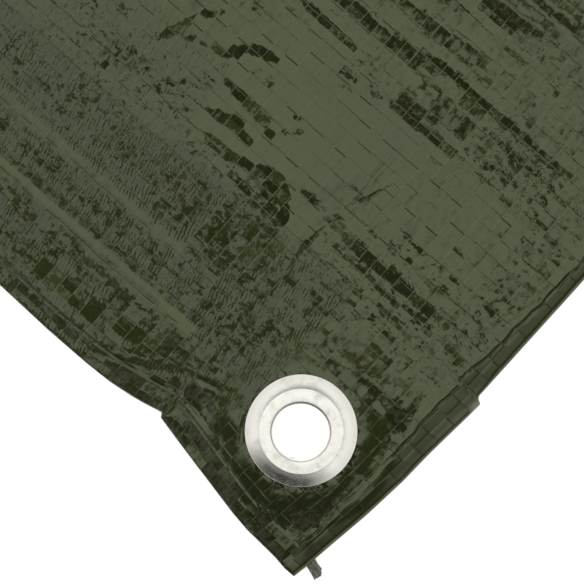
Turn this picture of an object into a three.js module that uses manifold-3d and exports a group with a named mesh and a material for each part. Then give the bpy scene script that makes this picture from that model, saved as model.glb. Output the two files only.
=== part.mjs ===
// A small tarp of woven, laminated polyethylene, open and lying flat. Its edges are hems turned under
// over a thin rope, its corners are square overlaps of two hems, and each corner holds an eyelet.
// Millimetres, +Z up. While it is worked out, x and y start at the ideal front left corner: x runs
// along the front edge and y along the left edge. The group at the end centres the whole tarp.
import * as THREE from 'three';
import { mergeVertices } from 'three/addons/utils/BufferGeometryUtils.js';
import Module from 'manifold-3d';

const wasm = await Module();
wasm.setup();

// The finished tarp.
const SPAN = 900;
const HEM = 46;
const TUNNEL = 5.6;
const PIECE_GAP = 0.3;

// Thickness of the solids: one layer, a hem of two layers, and a corner of four.
const FIELD_THICK = 1.0;
const HEM_THICK = 1.3;
const CORNER_THICK = 1.6;
const ROPE_BULGE = 0.9;
const SEAL_DIP = 0.25;
const SEAL_HALF = 1.6;
const LAYER_STEP_HALF = 1;

// The eyelets. Heights are above the floor that the tarp lies on.
const EYELET_R = 11;
const EYELET_HOLE_R = 5.5;
const BARREL_R = 6.3;
const CLOTH_HOLE_R = 6.7;
const FOOT_R = 8.2;
const FOOT_TOP = 0.5;
const WASHER_R = 10.3;
const WASHER_LOW = FOOT_TOP + PIECE_GAP;
const WASHER_TOP = WASHER_LOW + 0.5;
const CLOTH_LIFT = WASHER_TOP + PIECE_GAP;
const FLANGE_LOW = CLOTH_LIFT + CORNER_THICK + PIECE_GAP;
const FLANGE_RISE = 1.3;
const FLANGE_TOP = FLANGE_LOW + FLANGE_RISE;
const PUNCH_HIGH = 20;
const ROUND_STEPS = 20;
const MERGE_WITHIN = 1e-5;

// The cloth rises to the eyelets between these distances from their centres. Ridges start just outside.
const LIFT_NEAR = 12;
const LIFT_FAR = 22;
const RIDGE_CLEAR = 3;

// The flange's form: its rolled rim, its shoulder and its crown, as distances inside the outer edge and
// below the top, and how far the metal is rounded into the hole.
const RIM = { inside: 0.3, high: 0.55 };
const SHOULDER = { inside: 1.6, below: 0.15 };
const CROWN_INSIDE = 3.2;
const HOLE_ROUND = { wide: 0.7, below: 0.35, deep: 1.2 };
const WASHER_BEVEL = { wide: 0.4, high: 0.25 };

// Distance of each eyelet's centre from its two ideal edges.
const EYELETS = {
  front_left: { x: 18.65, y: 23.4 },
  front_right: { x: SPAN - 20, y: 21 },
  back_left: { x: 20, y: SPAN - 21 },
  back_right: { x: SPAN - 20.5, y: SPAN - 20.5 },
};

// How far each edge lies inside the ideal square, at distances along it. The photographed corner leans
// out on its left side, and its hems step in where the other hem's flap ends.
const LEFT_EDGE = [
  { at: 46.4, inset: 3.0 }, { at: 48, inset: 2.6 }, { at: 50, inset: 2.1 }, { at: 53, inset: 1.5 },
  { at: 58, inset: 0.8 }, { at: 64, inset: 0.5 }, { at: 74, inset: 0.45 }, { at: 87, inset: 0.8 },
  { at: 150, inset: 1.6 }, { at: 300, inset: 0.4 }, { at: 470, inset: 1.8 }, { at: 640, inset: 0.6 },
  { at: 780, inset: 1.6 }, { at: 854, inset: 0.9 },
];
const RIGHT_EDGE = [
  { at: 46.4, inset: 1.2 }, { at: 170, inset: 0.4 }, { at: 360, inset: 1.7 }, { at: 560, inset: 0.5 },
  { at: 720, inset: 1.6 }, { at: 854, inset: 1.0 },
];
const FRONT_EDGE = [
  { at: 46.4, inset: 1.3 }, { at: 75, inset: 0.85 }, { at: 190, inset: 0.3 }, { at: 380, inset: 1.5 },
  { at: 610, inset: 0.4 }, { at: 760, inset: 1.4 }, { at: 854, inset: 1.0 },
];
const BACK_EDGE = [
  { at: 46.4, inset: 1.1 }, { at: 220, inset: 0.5 }, { at: 430, inset: 1.6 }, { at: 650, inset: 0.4 },
  { at: 854, inset: 1.2 },
];
const CORNER_EDGES = {
  front_left: {
    side: [
      { at: 0, inset: -4.1 }, { at: 3, inset: -4.1 }, { at: 6, inset: -3.7 }, { at: 15, inset: -3.25 },
      { at: 20, inset: -2.6 }, { at: 46, inset: 2.1 },
    ],
    end: [
      { at: 0, inset: 5.3 }, { at: 2.5, inset: 4.8 }, { at: 9, inset: 3.8 }, { at: 17, inset: 2.5 },
      { at: 26, inset: 1.5 }, { at: 33, inset: 1.15 }, { at: 43, inset: 0.25 }, { at: 46, inset: 0.0 },
    ],
  },
  front_right: {
    side: [{ at: 0, inset: 0.8 }, { at: 12, inset: -0.6 }, { at: 46, inset: 0.2 }],
    end: [{ at: 0, inset: 1.4 }, { at: 20, inset: 0.2 }, { at: 46, inset: 0.1 }],
  },
  back_left: {
    side: [{ at: 0, inset: 1.2 }, { at: 16, inset: -0.4 }, { at: 46, inset: 0.0 }],
    end: [{ at: 0, inset: 1.0 }, { at: 14, inset: -0.5 }, { at: 46, inset: 0.2 }],
  },
  back_right: {
    side: [{ at: 0, inset: 1.0 }, { at: 18, inset: -0.8 }, { at: 46, inset: 0.1 }],
    end: [{ at: 0, inset: 1.3 }, { at: 15, inset: -0.3 }, { at: 46, inset: 0.0 }],
  },
};

// Ridges at the photographed corner: the line of each crest, its height and half its width.
const CORNER_RIDGES = [
  { crest: [[2.2, 68], [5.6, 59], [8.4, 52.6], [11.8, 47], [13.6, 40.7], [15, 34]], high: 1.5, half: 3.2 },
  { crest: [[3, 46], [7.5, 46.9], [11, 48.4]], high: 0.5, half: 2.4 },
  { crest: [[7, 69], [6.4, 86], [7.4, 118]], high: 0.7, half: 3.2 },
  { crest: [[19, 50], [19.6, 74], [18.6, 118]], high: 0.9, half: 4.2 },
  { crest: [[30, 66], [31, 88], [29.6, 128]], high: 0.8, half: 4.0 },
  { crest: [[38.5, 52], [40, 82], [39, 124]], high: 0.7, half: 4.4 },
  { crest: [[31.6, 7], [31.6, 19], [31, 31]], high: 0.7, half: 2.6 },
  { crest: [[51.6, 79], [50, 70], [52.6, 62], [51, 52]], high: 0.8, half: 3.4 },
  { crest: [[56.5, 95], [64, 93], [69.5, 90.6], [74, 86.5]], high: 1.1, half: 3.4 },
  { crest: [[62, 90], [66, 85], [69.6, 80], [72, 74]], high: 1.0, half: 3.2 },
  { crest: [[58.6, 80], [60.4, 73], [59.6, 65]], high: 0.8, half: 3.0 },
  { crest: [[36, 47.6], [54, 46], [76, 45.4]], high: 0.5, half: 3.0 },
  { crest: [[83, 30], [82.4, 52], [84, 84]], high: 1.2, half: 3.8 },
  { crest: [[91.6, 36], [91, 58], [92, 86]], high: 1.1, half: 3.8 },
  { crest: [[99.5, 40], [99, 60], [100.4, 92]], high: 1.2, half: 4.0 },
  { crest: [[107.4, 34], [106.6, 58], [108, 100]], high: 1.0, half: 4.2 },
];

// Long soft ridges in the rest of the field. Each runs along y from its start to its end and leans.
const FIELD_RIDGES = [
  { x: 140, from: 60, to: 400, lean: 10, high: 2.6, half: 20 },
  { x: 108, from: 390, to: 800, lean: 16, high: 2.8, half: 24 },
  { x: 196, from: 230, to: 690, lean: -14, high: 3.2, half: 24 },
  { x: 248, from: 60, to: 360, lean: 12, high: 2.8, half: 26 },
  { x: 262, from: 480, to: 850, lean: -12, high: 3.0, half: 24 },
  { x: 372, from: 110, to: 560, lean: 10, high: 3.4, half: 28 },
  { x: 428, from: 410, to: 840, lean: -14, high: 3.2, half: 28 },
  { x: 492, from: 60, to: 500, lean: 12, high: 3.2, half: 28 },
  { x: 540, from: 420, to: 780, lean: -8, high: 2.8, half: 24 },
  { x: 652, from: 130, to: 600, lean: -16, high: 3.4, half: 28 },
  { x: 700, from: 520, to: 850, lean: 10, high: 2.8, half: 24 },
  { x: 744, from: 60, to: 420, lean: 8, high: 3.0, half: 24 },
  { x: 806, from: 260, to: 700, lean: -10, high: 2.6, half: 22 },
];

// Packing creases: straight folds that stay after the tarp has been opened.
const PACKING_CREASES = [
  { axis: 'x', at: 305, high: 2.4, half: 16 },
  { axis: 'x', at: 598, high: 2.8, half: 16 },
  { axis: 'y', at: 322, high: 2.6, half: 20 },
  { axis: 'y', at: 611, high: 2.2, half: 20 },
];
const CREASE_MARGIN = 60;

// A long ridge's crest sways by so many millimetres and turns through so many radians, and each kind of
// ridge fades out over a share of its length at both ends.
const CREST_SWAY = 3;
const CREST_TURNS = 5;
const CORNER_TAPER = 0.3;
const FIELD_TAPER = 0.35;

// Grid steps: fine around the photographed corner and coarse elsewhere. A row also has a point on each
// crest that it meets and on both its flanks.
const FINE_START = 11.6;
const FINE_REACH = 118;
const FINE_STEP = 5;
const COARSE_STEP = 44;
const FINE_ROWS = [50, 54.5, 59.5, 65, 71, 77.5, 84, 91, 99, 109];
const COARSE_ROW_START = 128;
const COARSE_ROW_STEP = 56;
const PLAIN_CORNER_STEPS = [15, 26, 36, HEM];
const HEM_STEPS = [0, 1.2, 2.8, TUNNEL, 7.4];
const HEM_END_STEPS = [27, HEM - 1, HEM + 1];
const HEM_ROWS = [18, 32, HEM];
const FLANK_SHARES = [-1, 1, -0.5, 0.5];
const CLOSEST = { crest: 2.2, flank: 4.0, fine: 3.0, fineFlank: 1.7, row: 9 };

// The cut end of the flat hem rope.
const ROPE = { x: -0.3, y: 4.25, wide: 2.5, flared: 2.9, long: 3.2, thick: 0.8, lean: 0.22, low: 0.3 };
const ROPE_CUT = { left: 0.5, peak: -0.2, right: 0.2, notch: 0.8 };

const CLOTH = new THREE.MeshStandardMaterial({ color: '#3c4230', roughness: 0.42, metalness: 0 });
const ALUMINIUM = new THREE.MeshStandardMaterial({ color: '#d8d6cc', roughness: 0.32, metalness: 1 });
const ROPE_TAPE = new THREE.MeshStandardMaterial({ color: '#7d8471', roughness: 0.6, metalness: 0 });

const smooth = (low, high, value) => THREE.MathUtils.smoothstep(value, low, high);

// How much of an edge's inset is left at a distance from the edge.
const insetShare = (distance) => Math.max(0, 1 - distance / HEM);

// The value of a table at a distance along an edge, straight between its rows.
function insetAt(table, at) {
  if (at <= table[0].at) return table[0].inset;
  for (let row = 1; row < table.length; row += 1) {
    const before = table[row - 1];
    const after = table[row];
    if (at <= after.at) {
      return THREE.MathUtils.mapLinear(at, before.at, after.at, before.inset, after.inset);
    }
  }
  return table[table.length - 1].inset;
}

// The nearest point of a crest line: how far away it is, and where it lies from 0 to 1 along the line.
function nearCrest(crest, x, y) {
  const lengths = crest.slice(1).map((point, index) => (
    Math.hypot(point[0] - crest[index][0], point[1] - crest[index][1])));
  const whole = lengths.reduce((sum, length) => sum + length, 0);
  let walked = 0;
  let best = { distance: Infinity, along: 0 };
  lengths.forEach((length, index) => {
    const [ax, ay] = crest[index];
    const [bx, by] = crest[index + 1];
    const share = ((x - ax) * (bx - ax) + (y - ay) * (by - ay)) / (length * length);
    const t = THREE.MathUtils.clamp(share, 0, 1);
    const distance = Math.hypot(x - ax - t * (bx - ax), y - ay - t * (by - ay));
    if (distance < best.distance) best = { distance, along: (walked + t * length) / whole };
    walked += length;
  });
  return best;
}

// A soft bump that is exactly nothing beyond half its width.
function bump(distance, half) {
  const share = Math.abs(distance) / half;
  return share < 1 ? 0.5 + 0.5 * Math.cos(Math.PI * share) : 0;
}

function endFade(along, taper) {
  return smooth(0, taper, along) * smooth(0, taper, 1 - along);
}

function cornerRidges(x, y) {
  return CORNER_RIDGES.reduce((sum, ridge) => {
    const near = nearCrest(ridge.crest, x, y);
    return sum + ridge.high * bump(near.distance, ridge.half) * endFade(near.along, CORNER_TAPER);
  }, 0);
}

// Where a long ridge's crest lies at y, and where y lies from 0 to 1 along it.
function crestOf(ridge, y) {
  const along = (y - ridge.from) / (ridge.to - ridge.from);
  const sway = CREST_SWAY * Math.sin(CREST_TURNS * along + ridge.x);
  return { along, x: ridge.x + ridge.lean * (along - 0.5) + sway };
}

function fieldRidges(x, y) {
  return FIELD_RIDGES.reduce((sum, ridge) => {
    const crest = crestOf(ridge, y);
    return sum + ridge.high * bump(x - crest.x, ridge.half) * endFade(crest.along, FIELD_TAPER);
  }, 0);
}

function packingCreases(x, y) {
  const clear = smooth(0, CREASE_MARGIN, Math.min(x, y, SPAN - x, SPAN - y));
  return PACKING_CREASES.reduce((sum, crease) => {
    const across = (crease.axis === 'x' ? x : y) - crease.at;
    const share = Math.max(0, 1 - Math.abs(across) / crease.half);
    return sum + clear * crease.high * share * share;
  }, 0);
}

// How high the underside of the cloth lies above the floor.
function clothLift(x, y) {
  const nearest = Math.min(...Object.values(EYELETS).map((hole) => Math.hypot(x - hole.x, y - hole.y)));
  const hardware = CLOTH_LIFT * (1 - smooth(LIFT_NEAR, LIFT_FAR, nearest));
  const hemmed = smooth(0, HEM, Math.min(x, y, SPAN - x, SPAN - y));
  const ridges = cornerRidges(x, y) + Math.max(fieldRidges(x, y) * hemmed, packingCreases(x, y));
  return Math.max(hardware, ridges * smooth(LIFT_NEAR, LIFT_NEAR + RIDGE_CLEAR, nearest));
}

// Thickness from the distances to the two nearest edges, one of each direction.
function thickness(sideways, endways) {
  const edge = Math.min(sideways, endways);
  const inSide = 1 - smooth(HEM - LAYER_STEP_HALF, HEM + LAYER_STEP_HALF, sideways);
  const inEnd = 1 - smooth(HEM - LAYER_STEP_HALF, HEM + LAYER_STEP_HALF, endways);
  const hemmed = FIELD_THICK + (HEM_THICK - FIELD_THICK) * Math.max(inSide, inEnd);
  const layered = hemmed + (CORNER_THICK - HEM_THICK) * Math.min(inSide, inEnd);
  const rope = ROPE_BULGE * bump(edge - TUNNEL / 2, TUNNEL / 2);
  const seal = SEAL_DIP * bump(edge - TUNNEL, SEAL_HALF);
  return layered + rope - seal;
}

function steppedRange(from, to, step) {
  const count = Math.max(1, Math.round((to - from) / step));
  return Array.from({ length: count + 1 }, (unused, index) => from + (to - from) * index / count);
}

// A closed solid of cloth. Each row has its own list of x values, so rows may differ in fineness, and
// place() turns ideal x and y into where the cloth really lies.
function clothSolid(rows, place) {
  const points = [];
  const faces = [];
  const layers = [[], []];
  for (const row of rows) {
    const ids = [[], []];
    for (const x of row.xs) {
      const spot = place(x, row.y);
      const low = clothLift(spot.x, spot.y);
      const sideways = Math.min(x, SPAN - x);
      const endways = Math.min(row.y, SPAN - row.y);
      [low, low + thickness(sideways, endways)].forEach((z, layer) => {
        ids[layer].push(points.length / 3);
        points.push(spot.x, spot.y, z);
      });
    }
    layers[0].push(ids[0]);
    layers[1].push(ids[1]);
  }
  for (let index = 1; index < rows.length; index += 1) {
    const triangles = zipRows(rows[index - 1].xs, rows[index].xs);
    for (const [kind, a, b, c] of triangles) {
      layers.forEach((layer, side) => {
        const near = layer[index - 1];
        const far = layer[index];
        const ids = kind === 'near' ? [near[a], near[b], far[c]] : [near[a], far[b], far[c]];
        faces.push(...(side === 1 ? ids : ids.reverse()));
      });
    }
  }
  const rim = (layer) => [
    ...layer[0],
    ...layer.slice(1, -1).map((row) => row[row.length - 1]),
    ...layer[layer.length - 1].slice().reverse(),
    ...layer.slice(1, -1).map((row) => row[0]).reverse(),
  ];
  const lower = rim(layers[0]);
  const upper = rim(layers[1]);
  lower.forEach((id, index) => {
    const next = (index + 1) % lower.length;
    faces.push(id, lower[next], upper[next], id, upper[next], upper[index]);
  });
  const geometry = new THREE.BufferGeometry();
  geometry.setAttribute('position', new THREE.Float32BufferAttribute(points, 3));
  geometry.setIndex(faces);
  return geometry;
}

// Triangles between two rows of points, seen from above with the near row below the far one.
function zipRows(near, far) {
  const triangles = [];
  let a = 0;
  let b = 0;
  while (a < near.length - 1 || b < far.length - 1) {
    const stepNear = b === far.length - 1
      || (a < near.length - 1 && near[a + 1] + near[a] <= far[b + 1] + far[b]);
    if (stepNear) {
      triangles.push(['near', a, a + 1, b]);
      a += 1;
    } else {
      triangles.push(['far', a, b + 1, b]);
      b += 1;
    }
  }
  return triangles;
}

// The x values where a corner ridge's crest line crosses a row.
function crossings(crest, y) {
  const found = [];
  for (let index = 1; index < crest.length; index += 1) {
    const [ax, ay] = crest[index - 1];
    const [bx, by] = crest[index];
    if ((ay - y) * (by - y) < 0) found.push(ax + (bx - ax) * (y - ay) / (by - ay));
  }
  return found;
}

// The ideal x values of a row between two ends, which are kept, as are the fixed values. Crests come
// before flanks and flanks before even steps, each only where no other value is too close.
function rowSteps(y, from, to, fixed) {
  const xs = [from, ...fixed, to];
  const add = (x, closest) => {
    if (x > from && x < to && xs.every((other) => Math.abs(other - x) >= closest)) xs.push(x);
  };
  const isFine = y < FINE_REACH;
  const long = FIELD_RIDGES.filter((ridge) => y > ridge.from && y < ridge.to);
  const short = isFine ? CORNER_RIDGES : [];
  long.forEach((ridge) => add(crestOf(ridge, y).x, CLOSEST.crest));
  short.forEach((ridge) => crossings(ridge.crest, y).forEach((x) => add(x, CLOSEST.crest)));
  PACKING_CREASES.filter((crease) => crease.axis === 'x').forEach((crease) => {
    add(crease.at, CLOSEST.crest);
    add(crease.at - crease.half, CLOSEST.flank);
    add(crease.at + crease.half, CLOSEST.flank);
  });
  for (const share of FLANK_SHARES) {
    long.forEach((ridge) => add(crestOf(ridge, y).x + share * ridge.half, CLOSEST.flank));
  }
  short.forEach((ridge) => crossings(ridge.crest, y).forEach((x) => {
    add(x - ridge.half, CLOSEST.fineFlank);
    add(x + ridge.half, CLOSEST.fineFlank);
  }));
  if (isFine) steppedRange(FINE_START, FINE_REACH, FINE_STEP).forEach((x) => add(x, CLOSEST.fine));
  steppedRange(FINE_REACH, SPAN - HEM, COARSE_STEP).forEach((x) => add(x, COARSE_STEP / 2));
  return xs.sort((a, b) => a - b);
}

function mirrored(steps) {
  return steps.map((step) => SPAN - step).reverse();
}

function tarpSheet() {
  const first = HEM + PIECE_GAP;
  const coarse = steppedRange(COARSE_ROW_START, SPAN - CREASE_MARGIN, COARSE_ROW_STEP);
  const creaseRows = PACKING_CREASES.filter((crease) => crease.axis === 'y')
    .flatMap((crease) => [-1, 0, 1].map((share) => crease.at + share * crease.half));
  const clear = coarse.filter((y) => creaseRows.every((row) => Math.abs(row - y) > CLOSEST.row));
  const ys = [first, ...FINE_ROWS, ...clear, ...creaseRows, SPAN - first].sort((a, b) => a - b);
  const hem = [...HEM_STEPS.slice(1), ...HEM_END_STEPS];
  const rows = ys.map((y) => ({ y, xs: rowSteps(y, 0, SPAN, [...hem, ...mirrored(hem)]) }));
  return clothSolid(rows, (x, y) => {
    const left = insetAt(LEFT_EDGE, y) * insetShare(x);
    const right = insetAt(RIGHT_EDGE, y) * insetShare(SPAN - x);
    return { x: x + left - right, y };
  });
}

function hemStrip(edge, table) {
  const first = HEM + PIECE_GAP;
  const front = edge === 'front';
  const ys = front ? [...HEM_STEPS, ...HEM_ROWS] : mirrored([...HEM_STEPS, ...HEM_ROWS]);
  const rows = ys.map((y) => ({ y, xs: rowSteps(y, first, SPAN - first, []) }));
  return clothSolid(rows, (x, y) => {
    const inset = insetAt(table, x) * insetShare(front ? y : SPAN - y);
    return { x, y: front ? y + inset : y - inset };
  });
}

function cornerSquare(name) {
  const tables = CORNER_EDGES[name];
  const left = name.endsWith('left');
  const front = name.startsWith('front');
  const inner = name === 'front_left' ? steppedRange(FINE_START, HEM, FINE_STEP) : PLAIN_CORNER_STEPS;
  const steps = [...HEM_STEPS, ...inner];
  const xs = left ? steps : mirrored(steps);
  const ys = front ? steps : mirrored(steps);
  const solid = clothSolid(ys.map((y) => ({ y, xs })), (x, y) => {
    const sideways = left ? x : SPAN - x;
    const endways = front ? y : SPAN - y;
    const side = insetAt(tables.side, endways) * insetShare(sideways);
    const end = insetAt(tables.end, sideways) * insetShare(endways);
    return { x: left ? x + side : x - side, y: front ? y + end : y - end };
  });
  return cutHole(solid, EYELETS[name]);
}

function toManifold(geometry) {
  const bare = geometry.clone();
  bare.deleteAttribute('normal');
  bare.deleteAttribute('uv');
  const merged = mergeVertices(bare, MERGE_WITHIN);
  return new wasm.Manifold(new wasm.Mesh({
    numProp: 3,
    vertProperties: new Float32Array(merged.attributes.position.array),
    triVerts: new Uint32Array(merged.index.array),
  }));
}

function fromManifold(solid) {
  const mesh = solid.getMesh();
  const geometry = new THREE.BufferGeometry();
  geometry.setAttribute('position', new THREE.Float32BufferAttribute(mesh.vertProperties, 3));
  geometry.setIndex(Array.from(mesh.triVerts));
  return geometry;
}

function cutHole(geometry, hole) {
  const punch = new THREE.CylinderGeometry(CLOTH_HOLE_R, CLOTH_HOLE_R, PUNCH_HIGH, ROUND_STEPS);
  punch.rotateX(Math.PI / 2);
  punch.translate(hole.x, hole.y, 0);
  return fromManifold(toManifold(geometry).subtract(toManifold(punch)));
}

// A ring turned from a closed section, given as [radius, height] in order.
function turnedRing(section, hole) {
  const closed = [...section, section[0]].map(([radius, height]) => new THREE.Vector2(radius, height));
  const ring = new THREE.LatheGeometry(closed, ROUND_STEPS);
  ring.rotateX(Math.PI / 2);
  ring.translate(hole.x, hole.y, 0);
  return ring;
}

// The eyelet is one pressed piece: a domed flange on top, a barrel through the cloth, and a rolled foot.
function eyelet(hole) {
  return turnedRing([
    [EYELET_HOLE_R, FOOT_TOP],
    [EYELET_HOLE_R + HOLE_ROUND.wide, 0],
    [FOOT_R, 0],
    [FOOT_R, FOOT_TOP],
    [BARREL_R, FOOT_TOP],
    [BARREL_R, FLANGE_LOW],
    [EYELET_R, FLANGE_LOW],
    [EYELET_R - RIM.inside, FLANGE_LOW + RIM.high],
    [EYELET_R - SHOULDER.inside, FLANGE_TOP - SHOULDER.below],
    [EYELET_R - CROWN_INSIDE, FLANGE_TOP],
    [EYELET_HOLE_R + HOLE_ROUND.wide, FLANGE_TOP - HOLE_ROUND.below],
    [EYELET_HOLE_R, FLANGE_TOP - HOLE_ROUND.deep],
  ], hole);
}

function washer(hole) {
  return turnedRing([
    [CLOTH_HOLE_R, WASHER_LOW],
    [WASHER_R - WASHER_BEVEL.wide, WASHER_LOW],
    [WASHER_R, WASHER_LOW + WASHER_BEVEL.high],
    [WASHER_R - WASHER_BEVEL.wide, WASHER_TOP],
    [CLOTH_HOLE_R, WASHER_TOP],
  ], hole);
}

// The rope's cut end: a flat strand that flares a little towards its cut.
function ropeEnd() {
  const outline = new THREE.Shape([
    new THREE.Vector2(-ROPE.wide / 2, 0),
    new THREE.Vector2(-ROPE.flared / 2, -ROPE.long + ROPE_CUT.left),
    new THREE.Vector2(ROPE_CUT.peak, -ROPE.long),
    new THREE.Vector2(ROPE.flared / 2 - ROPE_CUT.notch, -ROPE.long + ROPE_CUT.right),
    new THREE.Vector2(ROPE.wide / 2, -ROPE.long / 2),
    new THREE.Vector2(ROPE.wide / 2, 0),
  ].reverse());
  return new THREE.ExtrudeGeometry(outline, { depth: ROPE.thick, bevelEnabled: false, steps: 1 });
}

function named(name, geometry, material) {
  const mesh = new THREE.Mesh(geometry, material);
  mesh.name = name;
  return mesh;
}

const cloth = new THREE.Group();
cloth.add(named('tarp_sheet', tarpSheet(), CLOTH));
cloth.add(named('hem_front', hemStrip('front', FRONT_EDGE), CLOTH));
cloth.add(named('hem_back', hemStrip('back', BACK_EDGE), CLOTH));

const hardware = new THREE.Group();
for (const [name, hole] of Object.entries(EYELETS)) {
  cloth.add(named(`corner_${name}`, cornerSquare(name), CLOTH));
  hardware.add(named(`eyelet_${name}`, eyelet(hole), ALUMINIUM));
  hardware.add(named(`washer_${name}`, washer(hole), ALUMINIUM));
}

const rope = named('hem_rope_end', ropeEnd(), ROPE_TAPE);
rope.position.set(ROPE.x, ROPE.y, ROPE.low);
rope.rotation.z = -ROPE.lean;

const tarp = new THREE.Group();
tarp.add(cloth, hardware, rope);

// The origin is the middle of the tarp, on the floor that it lies on.
const box = new THREE.Box3().setFromObject(tarp);
const middle = box.getCenter(new THREE.Vector3());
tarp.position.set(-middle.x, -middle.y, -box.min.z);

export default tarp;
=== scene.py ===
"""A small tarp of woven, laminated polyethylene, open and lying flat, with an eyelet in each corner.

The cloth is remade here as one thin sheet with really folded hems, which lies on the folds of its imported
solids. The eyelets and the rope end get their real surfaces. Places on the tarp are in millimetres from
the ideal front left corner: x runs along the front edge and y along the left edge, as in the part's source.
"""

import logging
import math
from dataclasses import dataclass, field
from enum import Enum
from typing import Any, Sequence

import bpy
import numpy as np
from mathutils import Euler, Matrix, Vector


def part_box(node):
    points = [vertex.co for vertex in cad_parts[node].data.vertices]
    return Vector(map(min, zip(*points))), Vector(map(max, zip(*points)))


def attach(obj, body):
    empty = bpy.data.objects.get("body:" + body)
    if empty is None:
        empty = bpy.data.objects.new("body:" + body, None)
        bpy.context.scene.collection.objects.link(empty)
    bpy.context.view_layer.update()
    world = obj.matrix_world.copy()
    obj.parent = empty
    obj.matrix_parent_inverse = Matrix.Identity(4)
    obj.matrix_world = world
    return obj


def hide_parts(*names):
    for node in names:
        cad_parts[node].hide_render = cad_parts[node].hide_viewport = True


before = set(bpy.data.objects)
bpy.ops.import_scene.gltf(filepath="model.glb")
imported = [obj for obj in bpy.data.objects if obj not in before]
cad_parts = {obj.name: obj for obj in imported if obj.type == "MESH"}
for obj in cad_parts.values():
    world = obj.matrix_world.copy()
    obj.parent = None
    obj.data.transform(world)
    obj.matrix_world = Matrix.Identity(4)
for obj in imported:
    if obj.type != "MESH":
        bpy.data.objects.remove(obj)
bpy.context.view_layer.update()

LOG = logging.getLogger("tarp")
MM = 0.001

# The middle of the photograph's square on the tarp, in mm, and how far the camera is turned about the
# upright, in degrees.
VIEW_CENTRE = (37.93, 42.72)
VIEW_TURN = -48.75

# The finished tarp, in mm, as its solids have it.
SPAN = 900.0
HEM = 46.0

Array = np.ndarray
Point = tuple[float, float]
Table = tuple[Point, ...]
Band = tuple[float, ...]

# The share of tipping film that stands for smooth film, which has neither strokes nor undulation.
SMOOTH_FILM = -0.4


class Corner(Enum):
    """The four corners, by the names that their nodes end with."""

    FRONT_LEFT = "front_left"
    FRONT_RIGHT = "front_right"
    BACK_LEFT = "back_left"
    BACK_RIGHT = "back_right"


# Each eyelet's centre.
CENTRES: dict[Corner, Point] = {
    Corner.FRONT_LEFT: (18.65, 23.4),
    Corner.FRONT_RIGHT: (SPAN - 20.0, 21.0),
    Corner.BACK_LEFT: (20.0, SPAN - 21.0),
    Corner.BACK_RIGHT: (SPAN - 20.5, SPAN - 20.5),
}


def tarp_origin() -> Vector:
    """Return where the ideal front left corner lies in the frame, in metres, from its eyelet's node.

    Returns:
        The place on the floor, in metres.
    """
    low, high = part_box(f"eyelet_{Corner.FRONT_LEFT.value}")
    x, y = CENTRES[Corner.FRONT_LEFT]
    middle = (Vector(low) + Vector(high)) / 2
    return Vector((middle.x - x * MM, middle.y - y * MM, 0.0))


ORIGIN = tarp_origin()


def to_linear(colour: str) -> tuple[float, float, float, float]:
    """Turn an sRGB hex colour into Blender's linear colour.

    Args:
        colour: six hex digits after a hash.

    Returns:
        Red, green and blue in linear light, and an alpha of one.
    """
    channels = [int(colour[start:start + 2], 16) / 255 for start in (1, 3, 5)]
    linear = [c / 12.92 if c <= 0.04045 else ((c + 0.055) / 1.055) ** 2.4 for c in channels]
    return (linear[0], linear[1], linear[2], 1.0)


def add_node(tree: bpy.types.NodeTree, kind: str, *values: Any, **settings: Any) -> bpy.types.Node:
    """Add a node, give it its own settings, and fill or link its inputs.

    Args:
        tree: the node tree.
        kind: the node's type without its leading ShaderNode.
        values: for the first inputs in use, in order: a constant, a node, a socket, or None to skip one.
        settings: the node's own properties, and inputs by name with an underscore for each space.

    Returns:
        The new node.
    """
    node = tree.nodes.new(f"ShaderNode{kind}")
    own = [name for name in settings if hasattr(node, name)]
    for name in own:
        setattr(node, name, settings.pop(name))
    in_use = [socket for socket in node.inputs if socket.enabled]
    named = [(node.inputs[name.replace("_", " ")], value) for name, value in settings.items()]
    pairs = list(zip(in_use, values)) + named
    for socket, value in pairs:
        if isinstance(value, bpy.types.Node):
            value = next(output for output in value.outputs if output.enabled)
        if isinstance(value, bpy.types.NodeSocket):
            tree.links.new(value, socket)
        elif value is not None:
            socket.default_value = value
    return node


def smooth(low: float, high: float, value: Any) -> Any:
    """Return a smooth step from 0 at low to 1 at high."""
    share = np.clip((value - low) / (high - low), 0.0, 1.0)
    return share * share * (3 - 2 * share)


def rectangle(low: Point, far: Point, edge: float, x: Array, y: Array) -> Array:
    """Return 1 well inside an upright rectangle, 0 outside, and a soft step between.

    Args:
        low: the rectangle's near left corner.
        far: its far right corner.
        edge: how far the step reaches to each side of the outline.
        x: the places' x.
        y: the places' y.

    Returns:
        One value for each place.
    """
    share = smooth(low[0] - edge, low[0] + edge, x)
    share = share * (1 - smooth(far[0] - edge, far[0] + edge, x))
    share = share * smooth(low[1] - edge, low[1] + edge, y)
    return share * (1 - smooth(far[1] - edge, far[1] + edge, y))


def per_mm(size: Point) -> tuple[float, float, float]:
    """Return how many grains of a size in mm fit in a mm, along x and y."""
    return (1 / size[0], 1 / size[1], 0.0)


def curve(points: Table, parts: int = 5, closed: bool = False) -> Array:
    """Draw a smooth line through points.

    Args:
        points: the points in order.
        parts: how many pieces each stretch between two points is cut into.
        closed: whether the line runs on from its last point to its first.

    Returns:
        One row of x and y for each point of the finer line.
    """
    given = np.array(points, dtype=float)
    if closed:
        padded = np.vstack([given[-1], given, given[:2]])
    else:
        padded = np.vstack([2 * given[0] - given[1], given, 2 * given[-1] - given[-2]])
    line = [padded[1]]
    for a, b, c, d in zip(padded, padded[1:], padded[2:], padded[3:]):
        for share in np.linspace(0, 1, parts + 1)[1:]:
            bend = (2 * a - 5 * b + 4 * c - d) * share ** 2 + (3 * b - a - 3 * c + d) * share ** 3
            line.append(0.5 * (2 * b + (c - a) * share + bend))
    return np.array(line[:-1] if closed else line)


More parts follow.
